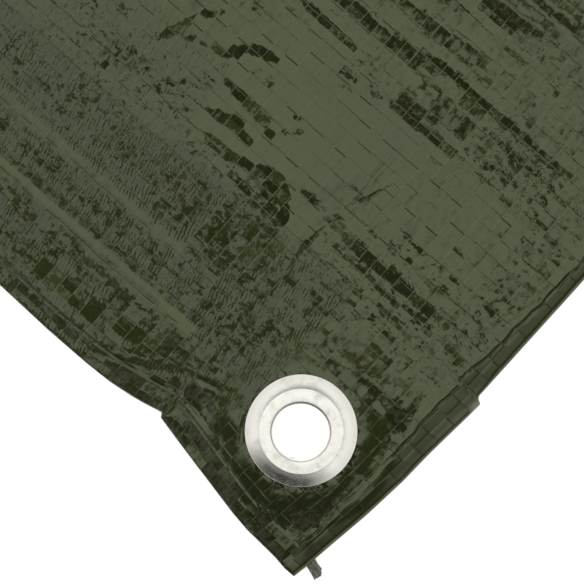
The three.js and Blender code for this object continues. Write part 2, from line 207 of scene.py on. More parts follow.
def beside(points: Table, reach: float, x: Array, y: Array) -> tuple[Array, Array, Array, Array]:
    """Measure places against the smooth line through points.

    Args:
        points: the points in order.
        reach: the greatest distance that matters.
        x: the places' x.
        y: the places' y.

    Returns:
        The numbers of the places near the line, and for each of them its distance from the line, how far
        along the line it lies from 0 to 1, and whether it lies on the left.
    """
    line = curve(points)
    low, high = line.min(axis=0) - reach, line.max(axis=0) + reach
    near = np.flatnonzero((x > low[0]) & (x < high[0]) & (y > low[1]) & (y < high[1]))
    px, py = x[near], y[near]
    lengths = np.hypot(*(line[1:] - line[:-1]).T)
    starts = np.concatenate([[0.0], np.cumsum(lengths)])
    best = np.full(near.size, np.inf)
    along = np.zeros(near.size)
    side = np.ones(near.size)
    for index, length in enumerate(lengths):
        ax, ay = line[index]
        dx, dy = (line[index + 1] - line[index]) / length
        walked = np.clip((px - ax) * dx + (py - ay) * dy, 0, length)
        distance = np.hypot(px - ax - walked * dx, py - ay - walked * dy)
        closer = distance < best
        best = np.where(closer, distance, best)
        along = np.where(closer, (starts[index] + walked) / starts[-1], along)
        side = np.where(closer, dx * (py - ay) - dy * (px - ax), side)
    return near, best, along, side > 0


def new_material(name: str) -> tuple[bpy.types.Material, bpy.types.NodeTree]:
    """Return a material with an empty node tree, and the tree.

    Args:
        name: the material's name.

    Returns:
        The material and its node tree.
    """
    material = bpy.data.materials.new(name)
    material.use_nodes = True
    material.node_tree.nodes.clear()
    return material, material.node_tree


def new_piece(name: str, points: Array, faces: Sequence[Sequence[int]],
              material: bpy.types.Material) -> bpy.types.Object:
    """Make a smooth mesh object from points in tarp millimetres.

    Args:
        name: the object's name.
        points: one row of x, y and height above the floor for each point.
        faces: the point numbers of each face.
        material: the finish.

    Returns:
        The object, which sits at the origin with its place in its mesh.
    """
    mesh = bpy.data.meshes.new(name)
    placed = np.asarray(points, dtype=float) * MM + np.array(ORIGIN)
    mesh.from_pydata(placed.tolist(), [], [list(face) for face in faces])
    mesh.validate()
    mesh.shade_smooth()
    mesh.materials.append(material)
    piece = bpy.data.objects.new(name, mesh)
    bpy.context.scene.collection.objects.link(piece)
    return piece


@dataclass(frozen=True)
class Hatch:
    """Fine parallel wrinkles in the film: their angle, their spacing in mm and how steep they are."""

    degrees: float
    pitch: float
    slope: float

    # Where a wrinkle's steep side begins and is full, as shares of the spacing.
    STEEP_SIDE = (0.52, 0.34)

    def strokes(self, tree: bpy.types.NodeTree, place: Any, shift: Any) -> bpy.types.Node:
        """Return how far each place leans as one side of a wrinkle, from 0 to 1.

        Args:
            tree: the material's nodes.
            place: the node with the place on the cut cloth in mm.
            shift: the socket that moves the wrinkles, in whole spacings.

        Returns:
            The node with the share.
        """
        turn = math.radians(self.degrees)
        across = (-math.sin(turn) / self.pitch, math.cos(turn) / self.pitch, 0.0)
        phase = add_node(tree, "VectorMath", place, across, operation="DOT_PRODUCT")
        moved = add_node(tree, "Math", phase.outputs["Value"], shift, operation="ADD")
        part = add_node(tree, "Math", moved, operation="FRACT")
        return add_node(tree, "MapRange", part, *self.STEEP_SIDE)

    @property
    def lean(self) -> tuple[float, float, float]:
        """The slope of a wrinkle's steep side, along x and y.

        Returns:
            The slopes along x and y, and a zero.
        """
        turn = math.radians(self.degrees)
        side = 1.0 if self.degrees > 45 else -1.0
        return (-side * math.sin(turn) * self.slope, side * math.cos(turn) * self.slope, 0.0)


@dataclass(frozen=True)
class LaminatedWeave:
    """Woven polyethylene tape cloth, laminated on both faces with a thin film of the same plastic.

    Two sets of flat tapes cross in a plain weave. The film mirrors a little, so flat cloth shows a grey veil
    and cloth that tips shows the deep olive of the plastic. Lengths are in mm, and a slope is a rise over a
    run. A band holds what a Map Range node takes: from low, from high, to low and to high.
    """

    name: str = "Laminated woven polyethylene, olive"
    film: str = "#191e0d"
    dusty: str = "#24221a"
    # The pale colour of the painted highlight along the tapes' level edges.
    crossing: str = "#6c7559"
    sheen: str = "#dafb4c"
    # The dark colour of the painted shade in the upright grooves.
    groove_shade: str = "#0c1008"
    cut_edge: str = "#8c9180"

    # The width of the tapes, and how far their upright edges jog from row to row, as shares of a tape.
    tape_x: float = 3.68
    tape_y: float = 3.12
    jog: float = 0.09
    even_jog: float = 0.7

    # How high a tape arches and how freely it leans, and the lines between the tapes.
    warp_step: float = 0.03
    weft_step: float = 0.022
    lean: float = 0.1
    groove: float = 0.032
    ledge: float = 0.003
    line_band: Band = (0.93, 1.0)
    strong_line: Band = (0.0, 1.0, 0.45, 1.0)
    faint_line: float = 0.6

    # The broad crumple, and the groove along a heat seal or a sharp crease.
    crumple_size: Point = (13.3333, 45.4545)
    crumple_deep: float = 4.5
    weld_band: Band = (0.5, 0.0)
    weld_deep: float = 0.16

    # Half tapes on which the film tips: how ragged they are, which way they tip and how steeply.
    ragged_size: Point = (1.05263, 1.66667)
    ragged_band: Band = (0.3, 0.7, 0.0, 0.75)
    tip_spread: float = 0.2
    tip_band: Band = (0.0, 0.2)
    blot_strip: Band = (0.25, 0.5)
    blot_spread: float = 0.85
    blot_ragged: float = 0.4
    tipped_left: float = 0.72
    tipped_ends: float = 0.7
    sure_band: Band = (0.5, 1.1, 0.0, 0.45)
    own_steepness: float = 0.45
    facet_slope: float = 0.29
    gentlest: float = 0.55

    # The film's soft undulation, which is stronger where there are wrinkles and weaker where it tips.
    wave_size: Point = (1.66667, 1.17647)
    undulation: float = 0.26
    busy_undulation: float = 0.8
    dash_share: float = 0.8
    calmed_band: Band = (0.0, 1.0, 1.0, 0.6)

    # Dashes and hatching: broken strokes, which some tapes have fewer of.
    dash: Hatch = Hatch(17.0, 0.7, 0.25)
    hatch: Hatch = Hatch(55.0, 0.56, 0.26)
    flat_hatch: Hatch = Hatch(20.0, 0.62, 0.25)
    row_band: Band = (0.08, 0.14, 0.35, 1.0)
    column_band: Band = (0.1, 0.6, 0.5, 1.0)
    level_band: Band = (0.0, 1.0, 1.0, 0.25)
    break_size: Point = (1.25, 0.666667)
    break_band: Band = (0.5, 0.64)
    break_share: float = 0.25
    present_band: Band = (0.0, 0.35)
    sway_size: float = 3.33333
    sway: float = 1.2
    stagger: float = 0.5
    strokes_a_tape: float = 4.0
    bridged_band: Band = (0.0, 0.7, 1.0, 0.25)

    # The surface: clouds of dust, a painted highlight on the level tape edges, and how dull the plastic and
    # its film are.
    cloud_size: float = 33.3333
    cloud_band: Band = (0.35, 0.7, 0.0, 0.5)
    dull_band: Band = (0.3, 0.7, 0.25, 0.34)
    tape_dust: float = 0.4
    edge_highlight: float = 0.4
    # How much of the painted shade colour goes into the upright grooves.
    groove_shade_share: float = 0.6
    film_roughness: float = 0.14
    scuffed: float = 0.2
    ior: float = 1.55

    def weave(self, tree: bpy.types.NodeTree, straight: Any, loose: Any) -> dict[str, Any]:
        """Build the crossing tapes, whose upright edges jog from row to row and show in every second one.

        Args:
            tree: the material's nodes.
            straight: the socket with the place on the cut cloth in whole tapes.
            loose: the socket that says how freely single crossings lean, from 0 to 1.

        Returns:
            The height in mm, the upright grooves and the level tape edges from 0 to 1, the place in tapes,
            and for each crossing its number, its own random value and the distance from its middle.
        """
        nearest = add_node(tree, "VectorMath", straight, (0.5, 0.0, 0.0), operation="ADD")
        line = add_node(tree, "VectorMath", nearest, operation="FLOOR")
        uneven = add_node(tree, "TexWhiteNoise", line, noise_dimensions="2D")
        side = add_node(tree, "TexChecker", nearest, (1, 1, 1, 1), (0, 0, 0, 1), 1.0)
        offset = add_node(tree, "Math", uneven.outputs["Value"], 0.5, operation="SUBTRACT")
        both = add_node(tree, "Math", side.outputs["Fac"], self.even_jog, offset, operation="MULTIPLY_ADD")
        jog = add_node(tree, "Math", both, self.jog, operation="MULTIPLY")
        sideways = add_node(tree, "CombineXYZ", jog, 0.0, 0.0)
        tapes = add_node(tree, "VectorMath", straight, sideways, operation="ADD")

        cell = add_node(tree, "VectorMath", tapes, operation="FLOOR")
        inner = add_node(tree, "VectorMath", tapes, operation="FRACTION")
        centred = add_node(tree, "VectorMath", inner, (2, 2, 0), (-1, -1, 0), operation="MULTIPLY_ADD")
        away = add_node(tree, "VectorMath", centred, operation="ABSOLUTE")
        square = add_node(tree, "VectorMath", away, away, operation="MULTIPLY")
        fourth = add_node(tree, "VectorMath", square, square, operation="MULTIPLY")
        crown = add_node(tree, "VectorMath", fourth, (-self.weft_step, -self.warp_step, 0),
                         (self.weft_step, self.warp_step, 0), operation="MULTIPLY_ADD")
        crowns = add_node(tree, "SeparateXYZ", crown)
        weft_on_top = add_node(tree, "TexChecker", tapes, (1, 1, 1, 1), (0, 0, 0, 1), 1.0)
        step = add_node(tree, "Mix", weft_on_top.outputs["Fac"], crowns.outputs["Y"], crowns.outputs["X"])
        chance = add_node(tree, "TexWhiteNoise", cell, noise_dimensions="2D")
        toward = add_node(tree, "VectorMath", chance.outputs["Color"], (0.5, 0.5, 0.5), operation="SUBTRACT")
        leaning = add_node(tree, "VectorMath", toward, centred, operation="DOT_PRODUCT")
        lean = add_node(tree, "Math", loose, self.lean, operation="MULTIPLY")
        leant = add_node(tree, "Math", leaning.outputs["Value"], lean, step, operation="MULTIPLY_ADD")

        aways = add_node(tree, "SeparateXYZ", away)
        strong = add_node(tree, "MapRange", uneven.outputs["Value"], *self.strong_line)
        faint = add_node(tree, "Math", uneven.outputs["Value"], self.faint_line, operation="MULTIPLY")
        strength = add_node(tree, "Mix", side.outputs["Fac"], faint, strong)
        edge_x = add_node(tree, "MapRange", aways.outputs["X"], *self.line_band)
        edge_y = add_node(tree, "MapRange", aways.outputs["Y"], *self.line_band)
        line_x = add_node(tree, "Math", edge_x, strength, operation="MULTIPLY")
        grooved = add_node(tree, "Math", line_x, -self.groove, leant, operation="MULTIPLY_ADD")
        height = add_node(tree, "Math", edge_y, -self.ledge, grooved, operation="MULTIPLY_ADD")
        return {"height": height, "grooves": line_x, "edges": edge_y, "tapes": tapes, "cell": cell,
                "chance": chance, "away": aways}

    def relief(self, tree: bpy.types.NodeTree, place: bpy.types.Node, woven: dict[str, Any],
               crumpled: Any) -> bpy.types.Node:
        """Return the height in mm of the weave, the broad crumple and the grooves of seals and creases.

        Args:
            tree: the material's nodes.
            place: the node with the place on the cut cloth in mm.
            woven: what weave returns.
            crumpled: the socket with the amount of the broad crumple.

        Returns:
            The node with the height.
        """
        grains = add_node(tree, "VectorMath", place, per_mm(self.crumple_size), operation="MULTIPLY")
        crumple = add_node(tree, "TexNoise", grains, Scale=1.0, Detail=3.0, Roughness=0.5, Distortion=0.4)
        crumple_mm = add_node(tree, "Math", crumpled, self.crumple_deep, operation="MULTIPLY")
        height = add_node(tree, "Math", crumple, crumple_mm, woven["height"], operation="MULTIPLY_ADD")
        seam = add_node(tree, "Attribute", attribute_name="weld")
        gap = add_node(tree, "Math", seam.outputs["Fac"], operation="ABSOLUTE")
        groove = add_node(tree, "MapRange", gap, *self.weld_band)
        return add_node(tree, "Math", groove, -self.weld_deep, height, operation="MULTIPLY_ADD")

    def tips(self, tree: bpy.types.NodeTree, place: bpy.types.Node, woven: dict[str, Any],
             kinds: bpy.types.Node, faceted: Any) -> tuple[bpy.types.Node, bpy.types.Node]:
        """Tip the film on single half tapes, and in blots beside the upright lines.

        Args:
            tree: the material's nodes.
            place: the node with the place on the cut cloth in mm.
            woven: what weave returns.
            kinds: the node with the amounts of blots, dashes and hatching.
            faceted: the socket with the share of the cloth that tips.

        Returns:
            How far each place has tipped, from 0 to 1, and its slope along x and y.
        """
        halves = add_node(tree, "VectorMath", woven["tapes"], (2, 1, 1), operation="MULTIPLY")
        half = add_node(tree, "VectorMath", halves, operation="FLOOR")
        chance = add_node(tree, "TexWhiteNoise", half, noise_dimensions="2D")
        ways = add_node(tree, "SeparateXYZ", chance.outputs["Color"])
        grains = add_node(tree, "VectorMath", place, per_mm(self.ragged_size), operation="MULTIPLY")
        rough = add_node(tree, "TexNoise", grains, Scale=1.0, Detail=3.0, Roughness=0.65)
        ragged = add_node(tree, "MapRange", rough, *self.ragged_band)
        limit = add_node(tree, "Math", chance.outputs["Value"], self.tip_spread, ragged,
                         operation="MULTIPLY_ADD")
        over = add_node(tree, "Math", faceted, limit, operation="SUBTRACT")
        strip = add_node(tree, "MapRange", woven["away"].outputs["X"], *self.blot_strip)
        blots = add_node(tree, "Math", kinds.outputs["X"], strip, operation="MULTIPLY")
        rarely = add_node(tree, "Math", ragged, self.blot_ragged, operation="MULTIPLY")
        blot_limit = add_node(tree, "Math", ways.outputs["Z"], self.blot_spread, rarely,
                              operation="MULTIPLY_ADD")
        blotted = add_node(tree, "Math", blots, blot_limit, operation="SUBTRACT")
        most = add_node(tree, "Math", over, blotted, operation="MAXIMUM")
        tipped = add_node(tree, "MapRange", most, *self.tip_band)

        mostly_left = add_node(tree, "Math", ways.outputs["X"], self.tipped_left, operation="SUBTRACT")
        way = add_node(tree, "Math", mostly_left, operation="SIGN")
        endways = add_node(tree, "Math", ways.outputs["Y"], 0.5, operation="SUBTRACT")
        tilted = add_node(tree, "Math", endways, self.tipped_ends, operation="MULTIPLY")
        toward = add_node(tree, "CombineXYZ", way, tilted, 0.0)
        sure = add_node(tree, "MapRange", faceted, *self.sure_band)
        own = add_node(tree, "Math", ways.outputs["Y"], self.own_steepness, sure, operation="MULTIPLY_ADD")
        whole = add_node(tree, "MapRange", own, 0.0, self.own_steepness, self.gentlest * self.facet_slope,
                         self.facet_slope)
        steep = add_node(tree, "Math", tipped, whole, operation="MULTIPLY")
        return tipped, add_node(tree, "VectorMath", toward, Scale=steep, operation="SCALE")

    def rolls(self, tree: bpy.types.NodeTree, place: bpy.types.Node, kinds: bpy.types.Node, faceted: Any,
              tipped: bpy.types.Node, loose: Any) -> bpy.types.Node:
        """Return the slope of the film's soft undulation, along x and y.

        Args:
            tree: the material's nodes.
            place: the node with the place on the cut cloth in mm.
            kinds: the node with the amounts of blots, dashes and hatching.
            faceted: the socket with the share of the cloth that tips.
            tipped: the node that says how far each place has tipped.
            loose: the socket that says how much of the finer wrinkles there is, from 0 to 1.

        Returns:
            The node with the slopes.
        """
        dashed = add_node(tree, "Math", kinds.outputs["Y"], self.dash_share, operation="MULTIPLY")
        wrinkled = add_node(tree, "Math", kinds.outputs["X"], dashed, operation="MAXIMUM")
        moving = add_node(tree, "Math", wrinkled, faceted, operation="MAXIMUM", use_clamp=True)
        grains = add_node(tree, "VectorMath", place, per_mm(self.wave_size), operation="MULTIPLY")
        waves = add_node(tree, "TexNoise", grains, Scale=1.0, Detail=3.0, Roughness=0.6)
        centred = add_node(tree, "VectorMath", waves.outputs["Color"], (0.5, 0.5, 0.5), operation="SUBTRACT")
        level_only = add_node(tree, "VectorMath", centred, (1, 1, 0), operation="MULTIPLY")
        deep = add_node(tree, "Math", moving, self.busy_undulation, self.undulation, operation="MULTIPLY_ADD")
        calmed = add_node(tree, "MapRange", tipped, *self.calmed_band)
        deep_free = add_node(tree, "Math", deep, calmed, operation="MULTIPLY")
        deep_here = add_node(tree, "Math", deep_free, loose, operation="MULTIPLY")
        return add_node(tree, "VectorMath", level_only, Scale=deep_here, operation="SCALE")

    def strokes(self, tree: bpy.types.NodeTree, place: bpy.types.Node, woven: dict[str, Any],
                kinds: bpy.types.Node, tipped: bpy.types.Node, loose: Any) -> bpy.types.Node:
        """Return the slope of the dashes and the hatching, along x and y.

        Args:
            tree: the material's nodes.
            place: the node with the place on the cut cloth in mm.
            woven: what weave returns.
            kinds: the node with the amounts of blots, dashes and hatching.
            tipped: the node that says how far each place has tipped.
            loose: the socket that says how much of the finer wrinkles there is, from 0 to 1.

        Returns:
            The node with the slopes.
        """
        cells = add_node(tree, "SeparateXYZ", woven["cell"])
        column = add_node(tree, "TexWhiteNoise", noise_dimensions="1D", W=cells.outputs["X"])
        row = add_node(tree, "TexWhiteNoise", noise_dimensions="1D", W=cells.outputs["Y"])
        busy_row = add_node(tree, "MapRange", row.outputs["Value"], *self.row_band)
        busy_column = add_node(tree, "MapRange", column.outputs["Value"], *self.column_band)
        busy = add_node(tree, "Math", busy_row, busy_column, operation="MULTIPLY")
        level = add_node(tree, "MapRange", tipped, *self.level_band)
        busy_here = add_node(tree, "Math", busy, loose, operation="MULTIPLY")
        free = add_node(tree, "Math", busy_here, level, operation="MULTIPLY")
        grains = add_node(tree, "VectorMath", place, per_mm(self.break_size), operation="MULTIPLY")
        breaks = add_node(tree, "TexNoise", grains, Scale=1.0, Detail=2.0, Roughness=0.5)
        sway = add_node(tree, "TexNoise", place, Scale=1 / self.sway_size, Detail=1.0)
        swayed = add_node(tree, "Math", sway, self.sway, operation="MULTIPLY")
        by_tape = add_node(tree, "Math", swayed, woven["chance"].outputs["Value"], operation="ADD")
        across = add_node(tree, "SeparateXYZ", woven["tapes"])
        parts = add_node(tree, "Math", across.outputs["X"], self.strokes_a_tape, operation="MULTIPLY")
        part = add_node(tree, "Math", parts, operation="FLOOR")
        staggered = add_node(tree, "Math", part, self.stagger, sway, operation="MULTIPLY_ADD")
        total = None
        for hatch, channel, sign, shift in (
            (self.dash, "Y", 1.0, by_tape), (self.hatch, "Z", 1.0, swayed),
            (self.flat_hatch, "Z", -1.0, staggered),
        ):
            signed = add_node(tree, "Math", kinds.outputs[channel], sign, operation="MULTIPLY")
            wide = add_node(tree, "Math", signed, self.break_share, breaks, operation="MULTIPLY_ADD")
            cut = add_node(tree, "MapRange", wide, *self.break_band)
            present = add_node(tree, "MapRange", signed, *self.present_band)
            drawn = add_node(tree, "Math", hatch.strokes(tree, place, shift), cut, operation="MULTIPLY")
            here = add_node(tree, "Math", drawn, present, operation="MULTIPLY")
            share = add_node(tree, "Math", here, free, operation="MULTIPLY")
            leant = add_node(tree, "VectorMath", hatch.lean, Scale=share, operation="SCALE")
            total = add_node(tree, "VectorMath", total, leant, operation="ADD") if total else leant
        return total

    def slopes(self, tree: bpy.types.NodeTree, place: bpy.types.Node, woven: dict[str, Any],
               kinds: bpy.types.Node, faceted: Any, loose: Any) -> bpy.types.Node:
        """Return how far the film leans along x and y: what tips, what rolls and the strokes together.

        Args:
            tree: the material's nodes.
            place: the node with the place on the cut cloth in mm.
            woven: what weave returns.
            kinds: the node with the amounts of blots, dashes and hatching.
            faceted: the socket with the share of the cloth that tips.
            loose: the socket that says how much of the finer wrinkles there is, from 0 to 1.

        Returns:
            The node with the slopes.
        """
        tipped, tipping = self.tips(tree, place, woven, kinds, faceted)
        rolling = self.rolls(tree, place, kinds, faceted, tipped, loose)
        stroked = self.strokes(tree, place, woven, kinds, tipped, loose)
        two = add_node(tree, "VectorMath", tipping, rolling, operation="ADD")
        total = add_node(tree, "VectorMath", two, stroked, operation="ADD")
        # Along the level edges of the tapes the film bridges the step, so it stays flat.
        bridged = add_node(tree, "MapRange", woven["edges"], *self.bridged_band)
        return add_node(tree, "VectorMath", total, Scale=bridged, operation="SCALE")

    def colour(self, tree: bpy.types.NodeTree, woven: dict[str, Any], cloudy: bpy.types.Node,
               pale: Any) -> bpy.types.Node:
        """Return the colour: olive with clouds of dust, painted highlight on level tape edges, painted shade
        in grooves.

        Args:
            tree: the material's nodes.
            woven: what weave returns.
            cloudy: the node with the noise of the clouds.
            pale: the socket with the share of bare, cut tape ends.

        Returns:
            The node with the colour.
        """
        cloud = add_node(tree, "MapRange", cloudy, *self.cloud_band)
        own = woven["chance"].outputs["Value"]
        dusted = add_node(tree, "Math", own, self.tape_dust, cloud, operation="MULTIPLY_ADD")
        plain = add_node(tree, "Mix", dusted, to_linear(self.film), to_linear(self.dusty), data_type="RGBA")
        # Painted highlight: the tapes' level edges are mixed toward a pale colour.
        thick = add_node(tree, "Math", woven["edges"], self.edge_highlight, operation="MULTIPLY")
        highlighted = add_node(tree, "Mix", thick, plain, to_linear(self.crossing), data_type="RGBA")
        # Painted shade: the upright grooves between the tapes are mixed toward a dark colour.
        dark = add_node(tree, "Math", woven["grooves"], self.groove_shade_share, operation="MULTIPLY")
        grooved = add_node(tree, "Mix", dark, highlighted, to_linear(self.groove_shade), data_type="RGBA")
        return add_node(tree, "Mix", pale, grooved, to_linear(self.cut_edge), data_type="RGBA")

    def material(self) -> bpy.types.Material:
        """Return the cloth's material.

        Returns:
            The new material.
        """
        material, tree = new_material(self.name)
        source = add_node(tree, "Attribute", attribute_name="weave")
        tone = add_node(tree, "Attribute", attribute_name="tone")
        tones = add_node(tree, "SeparateXYZ", tone.outputs["Vector"])
        amounts = add_node(tree, "Attribute", attribute_name="wrinkles")
        kinds = add_node(tree, "SeparateXYZ", amounts.outputs["Vector"])
        size = (self.tape_x, self.tape_y, 0)
        place = add_node(tree, "VectorMath", source.outputs["Vector"], size, operation="MULTIPLY")
        loose = add_node(tree, "MapRange", tones.outputs["X"], SMOOTH_FILM, 0.0)
        woven = self.weave(tree, source.outputs["Vector"], loose)
        height = self.relief(tree, place, woven, tones.outputs["Y"])
        slopes = self.slopes(tree, place, woven, kinds, tones.outputs["X"], loose)
        smooth_normal = add_node(tree, "TexCoord").outputs["Normal"]
        leaning = add_node(tree, "VectorMath", smooth_normal, slopes, operation="ADD")
        unit = add_node(tree, "VectorMath", leaning, operation="NORMALIZE")
        faced = add_node(tree, "VectorTransform", unit, vector_type="NORMAL", convert_from="OBJECT",
                         convert_to="WORLD")
        bump = add_node(tree, "Bump", Height=height, Distance=MM, Normal=faced)

        cloudy = add_node(tree, "TexNoise", place, Scale=1 / self.cloud_size, Detail=3.0)
        colour = self.colour(tree, woven, cloudy, tones.outputs["Z"])
        sheen = add_node(tree, "MapRange", cloudy, *self.dull_band)
        dull = add_node(tree, "Math", kinds.outputs["Y"], self.scuffed, sheen, operation="MULTIPLY_ADD")
        surface = add_node(tree, "BsdfPrincipled", Base_Color=colour, Roughness=dull, IOR=self.ior,
                           Normal=bump, Specular_Tint=to_linear(self.sheen), Coat_Weight=1.0,
                           Coat_IOR=self.ior, Coat_Roughness=self.film_roughness, Coat_Normal=bump)
        add_node(tree, "OutputMaterial", surface)
        return material


@dataclass(frozen=True)
class SatinAluminium:
    """Thin aluminium, pressed and barrel-tumbled: bright, with a soft sheen, faint grain and dull smears.

    Lengths are in mm.
    """

    name: str = "Pressed aluminium, tumbled"
    metal: str = "#eeece3"
    oxide: str = "#a5a8a8"
    grain: float = 0.35
    grain_deep: float = 0.006
    smear: float = 3.2
    dull_band: Band = (0.35, 0.7, 0.15, 0.34)
    tarnish_band: Band = (0.52, 0.78, 0.0, 0.35)

    def material(self) -> bpy.types.Material:
        """Return the metal's material.

        Returns:
            The new material.
        """
        material, tree = new_material(self.name)
        place = add_node(tree, "TexCoord")
        spot = place.outputs["Object"]
        fine = add_node(tree, "TexNoise", spot, Scale=1 / (self.grain * MM), Detail=2.0)
        smear = add_node(tree, "TexNoise", spot, Scale=1 / (self.smear * MM), Detail=4.0, Roughness=0.65)
        dull = add_node(tree, "MapRange", smear, *self.dull_band)
        tarnish = add_node(tree, "MapRange", smear, *self.tarnish_band)
        colour = add_node(tree, "Mix", tarnish, to_linear(self.metal), to_linear(self.oxide),
                          data_type="RGBA")
        bump = add_node(tree, "Bump", Height=fine, Distance=self.grain_deep * MM)
        surface = add_node(tree, "BsdfPrincipled", Base_Color=colour, Metallic=1.0, Roughness=dull,
                           Normal=bump)
        add_node(tree, "OutputMaterial", surface)
        return material


@dataclass(frozen=True)
class SplitStrand:
    """Flat polyethylene strand, slit lengthwise into fibres, so it looks dull and finely lined.

    Lengths are in mm, and squeeze is a fibre's width over its length.
    """

    name: str = "Slit polyethylene strand, grey-green"
    plastic: str = "#8a8f7c"
    shadow: str = "#4f5545"
    fibre: float = 0.16
    fibre_deep: float = 0.05
    squeeze: float = 0.12
    line_band: Band = (0.38, 0.62)
    roughness: float = 0.48

    def material(self) -> bpy.types.Material:
        """Return the strand's material.

        Returns:
            The new material.
        """
        material, tree = new_material(self.name)
        place = add_node(tree, "TexCoord")
        along = (1.0, self.squeeze, 1.0)
        stretched = add_node(tree, "VectorMath", place.outputs["Object"], along, operation="MULTIPLY")
        lines = add_node(tree, "TexNoise", stretched, Scale=1 / (self.fibre * MM), Detail=2.0)
        share = add_node(tree, "MapRange", lines, *self.line_band)
        colour = add_node(tree, "Mix", share, to_linear(self.shadow), to_linear(self.plastic),
                          data_type="RGBA")
        bump = add_node(tree, "Bump", Height=lines, Distance=self.fibre_deep * MM)
        surface = add_node(tree, "BsdfPrincipled", Base_Color=colour, Roughness=self.roughness, Normal=bump)
        add_node(tree, "OutputMaterial", surface)
        return material


@dataclass(frozen=True)
class StudioFloor:
    """A matt white table top, lit from within a little, so thin edges throw almost no shadow."""

    name: str = "Matt white acrylic table"
    white: str = "#f2f2f0"
    glow: float = 0.8
    roughness: float = 0.9

    def material(self) -> bpy.types.Material:
        """Return the floor's material.

        Returns:
            The new material.
        """
        material, tree = new_material(self.name)
        white = to_linear(self.white)
        surface = add_node(tree, "BsdfPrincipled", Base_Color=white, Roughness=self.roughness,
                           Emission_Color=white, Emission_Strength=self.glow)
        add_node(tree, "OutputMaterial", surface)
        return material


class Grain:
    """Smooth seeded noise over the plane, from -1 to 1."""

    SIDE = 256

    def __init__(self, seed: int) -> None:
        """Draw the lattice of values for a seed."""
        self.values = np.random.default_rng(seed).uniform(-1.0, 1.0, (self.SIDE, self.SIDE))

    def at(self, x: Array, y: Array) -> Array:
        """Return the noise at places given in lattice steps.

        Args:
            x: the places' x.
            y: the places' y.

        Returns:
            One value for each place.
        """
        column = np.floor(x).astype(int)
        row = np.floor(y).astype(int)
        u = smooth(0.0, 1.0, x - column)
        v = smooth(0.0, 1.0, y - row)
        corners = [self.values[(row + up) % self.SIDE, (column + right) % self.SIDE]
                   for up in (0, 1) for right in (0, 1)]
        near = corners[0] * (1 - u) + corners[1] * u
        far = corners[2] * (1 - u) + corners[3] * u
        return near * (1 - v) + far * v


@dataclass(frozen=True)
class Ridge:
    """A soft fold along a crest line, in mm. Its left and right are seen walking along the crest."""

    crest: Table
    high: float
    left: float
    right: float
    sharp: float = 0.35
    taper: float = 0.25

    def height(self, x: Array, y: Array) -> Array:
        """Return the fold's height at each place.

        Args:
            x: the places' x.
            y: the places' y.

        Returns:
            One height in mm for each place.
        """
        near, distance, along, is_left = beside(self.crest, max(self.left, self.right), x, y)
        share = np.clip(distance / np.where(is_left, self.left, self.right), 0, 1)
        shape = self.sharp * (1 - share) ** 1.3 + (1 - self.sharp) * (0.5 + 0.5 * np.cos(np.pi * share))
        fade = smooth(0, self.taper, along) * smooth(0, self.taper, 1 - along)
        out = np.zeros_like(x)
        out[near] = self.high * shape * fade
        return out


class Wrinkle(Enum):
    """The kinds of fine wrinkle, by their column among the cloth's wrinkle amounts."""

    BLOT = 0
    DASH = 1
    HATCH = 2
    FACET = 3


@dataclass(frozen=True)
class Patch:
    """An upright rectangle of the cloth, in mm, where one kind of fine wrinkle has a given strength."""

    low: Point
    far: Point
    kind: Wrinkle
    amount: float
    soft: float = 2.0

    def inside(self, x: Array, y: Array) -> Array:
        """Return 1 well inside the rectangle, 0 outside, and a soft step between."""
        return rectangle(self.low, self.far, self.soft / 2, x, y)


@dataclass(frozen=True)
class Streak:
    """A line on the cloth, in mm, along which a share of the film tips: narrower towards its two ends."""

    line: Table
    wide: float
    amount: float
    taper: float = 0.25

    # The width of its ends, as a share of its own, and how soft its edges are.
    END_WIDE = 0.4
    EDGE = 0.3

    def inside(self, x: Array, y: Array) -> Array:
        """Return 1 well inside the streak, 0 outside, and a soft step between.

        Args:
            x: the places' x.
            y: the places' y.

        Returns:
            One value for each place.
        """
        near, distance, along, _ = beside(self.line, self.wide, x, y)
        full = smooth(0, self.taper, along) * smooth(0, self.taper, 1 - along)
        half = self.wide / 2 * (self.END_WIDE + (1 - self.END_WIDE) * full)
        out = np.zeros_like(x)
        out[near] = 1 - smooth(half - self.EDGE, half + self.EDGE, distance)
        return out


@dataclass(frozen=True)
class Crumple:
    """A patch of small wrinkles: its corners, their height, and their size along x and along y, in mm."""

    low: Point
    far: Point
    high: float
    wide: float
    long: float
    seed: int

    # How far its edge reaches, how its wrinkles slant, and the size and the share of its finer ones.
    EDGE = 5.0
    SLANT = 0.12
    FINER = 0.55
    FINE_SHARE = 0.35

    def height(self, x: Array, y: Array) -> Array:
        """Return the wrinkles' height at each place, none outside the patch.

        Args:
            x: the places' x.
            y: the places' y.

        Returns:
            One height in mm for each place.
        """
        inside = rectangle(self.low, self.far, self.EDGE, x, y)
        grain = Grain(self.seed)
        lean = self.SLANT * y
        coarse = grain.at((x + lean) / self.wide, y / self.long)
        fine = grain.at((x - lean) / (self.FINER * self.wide) + 50, y / (self.FINER * self.long) + 50)
        return self.high * inside * ((1 - self.FINE_SHARE) * coarse + self.FINE_SHARE * fine)


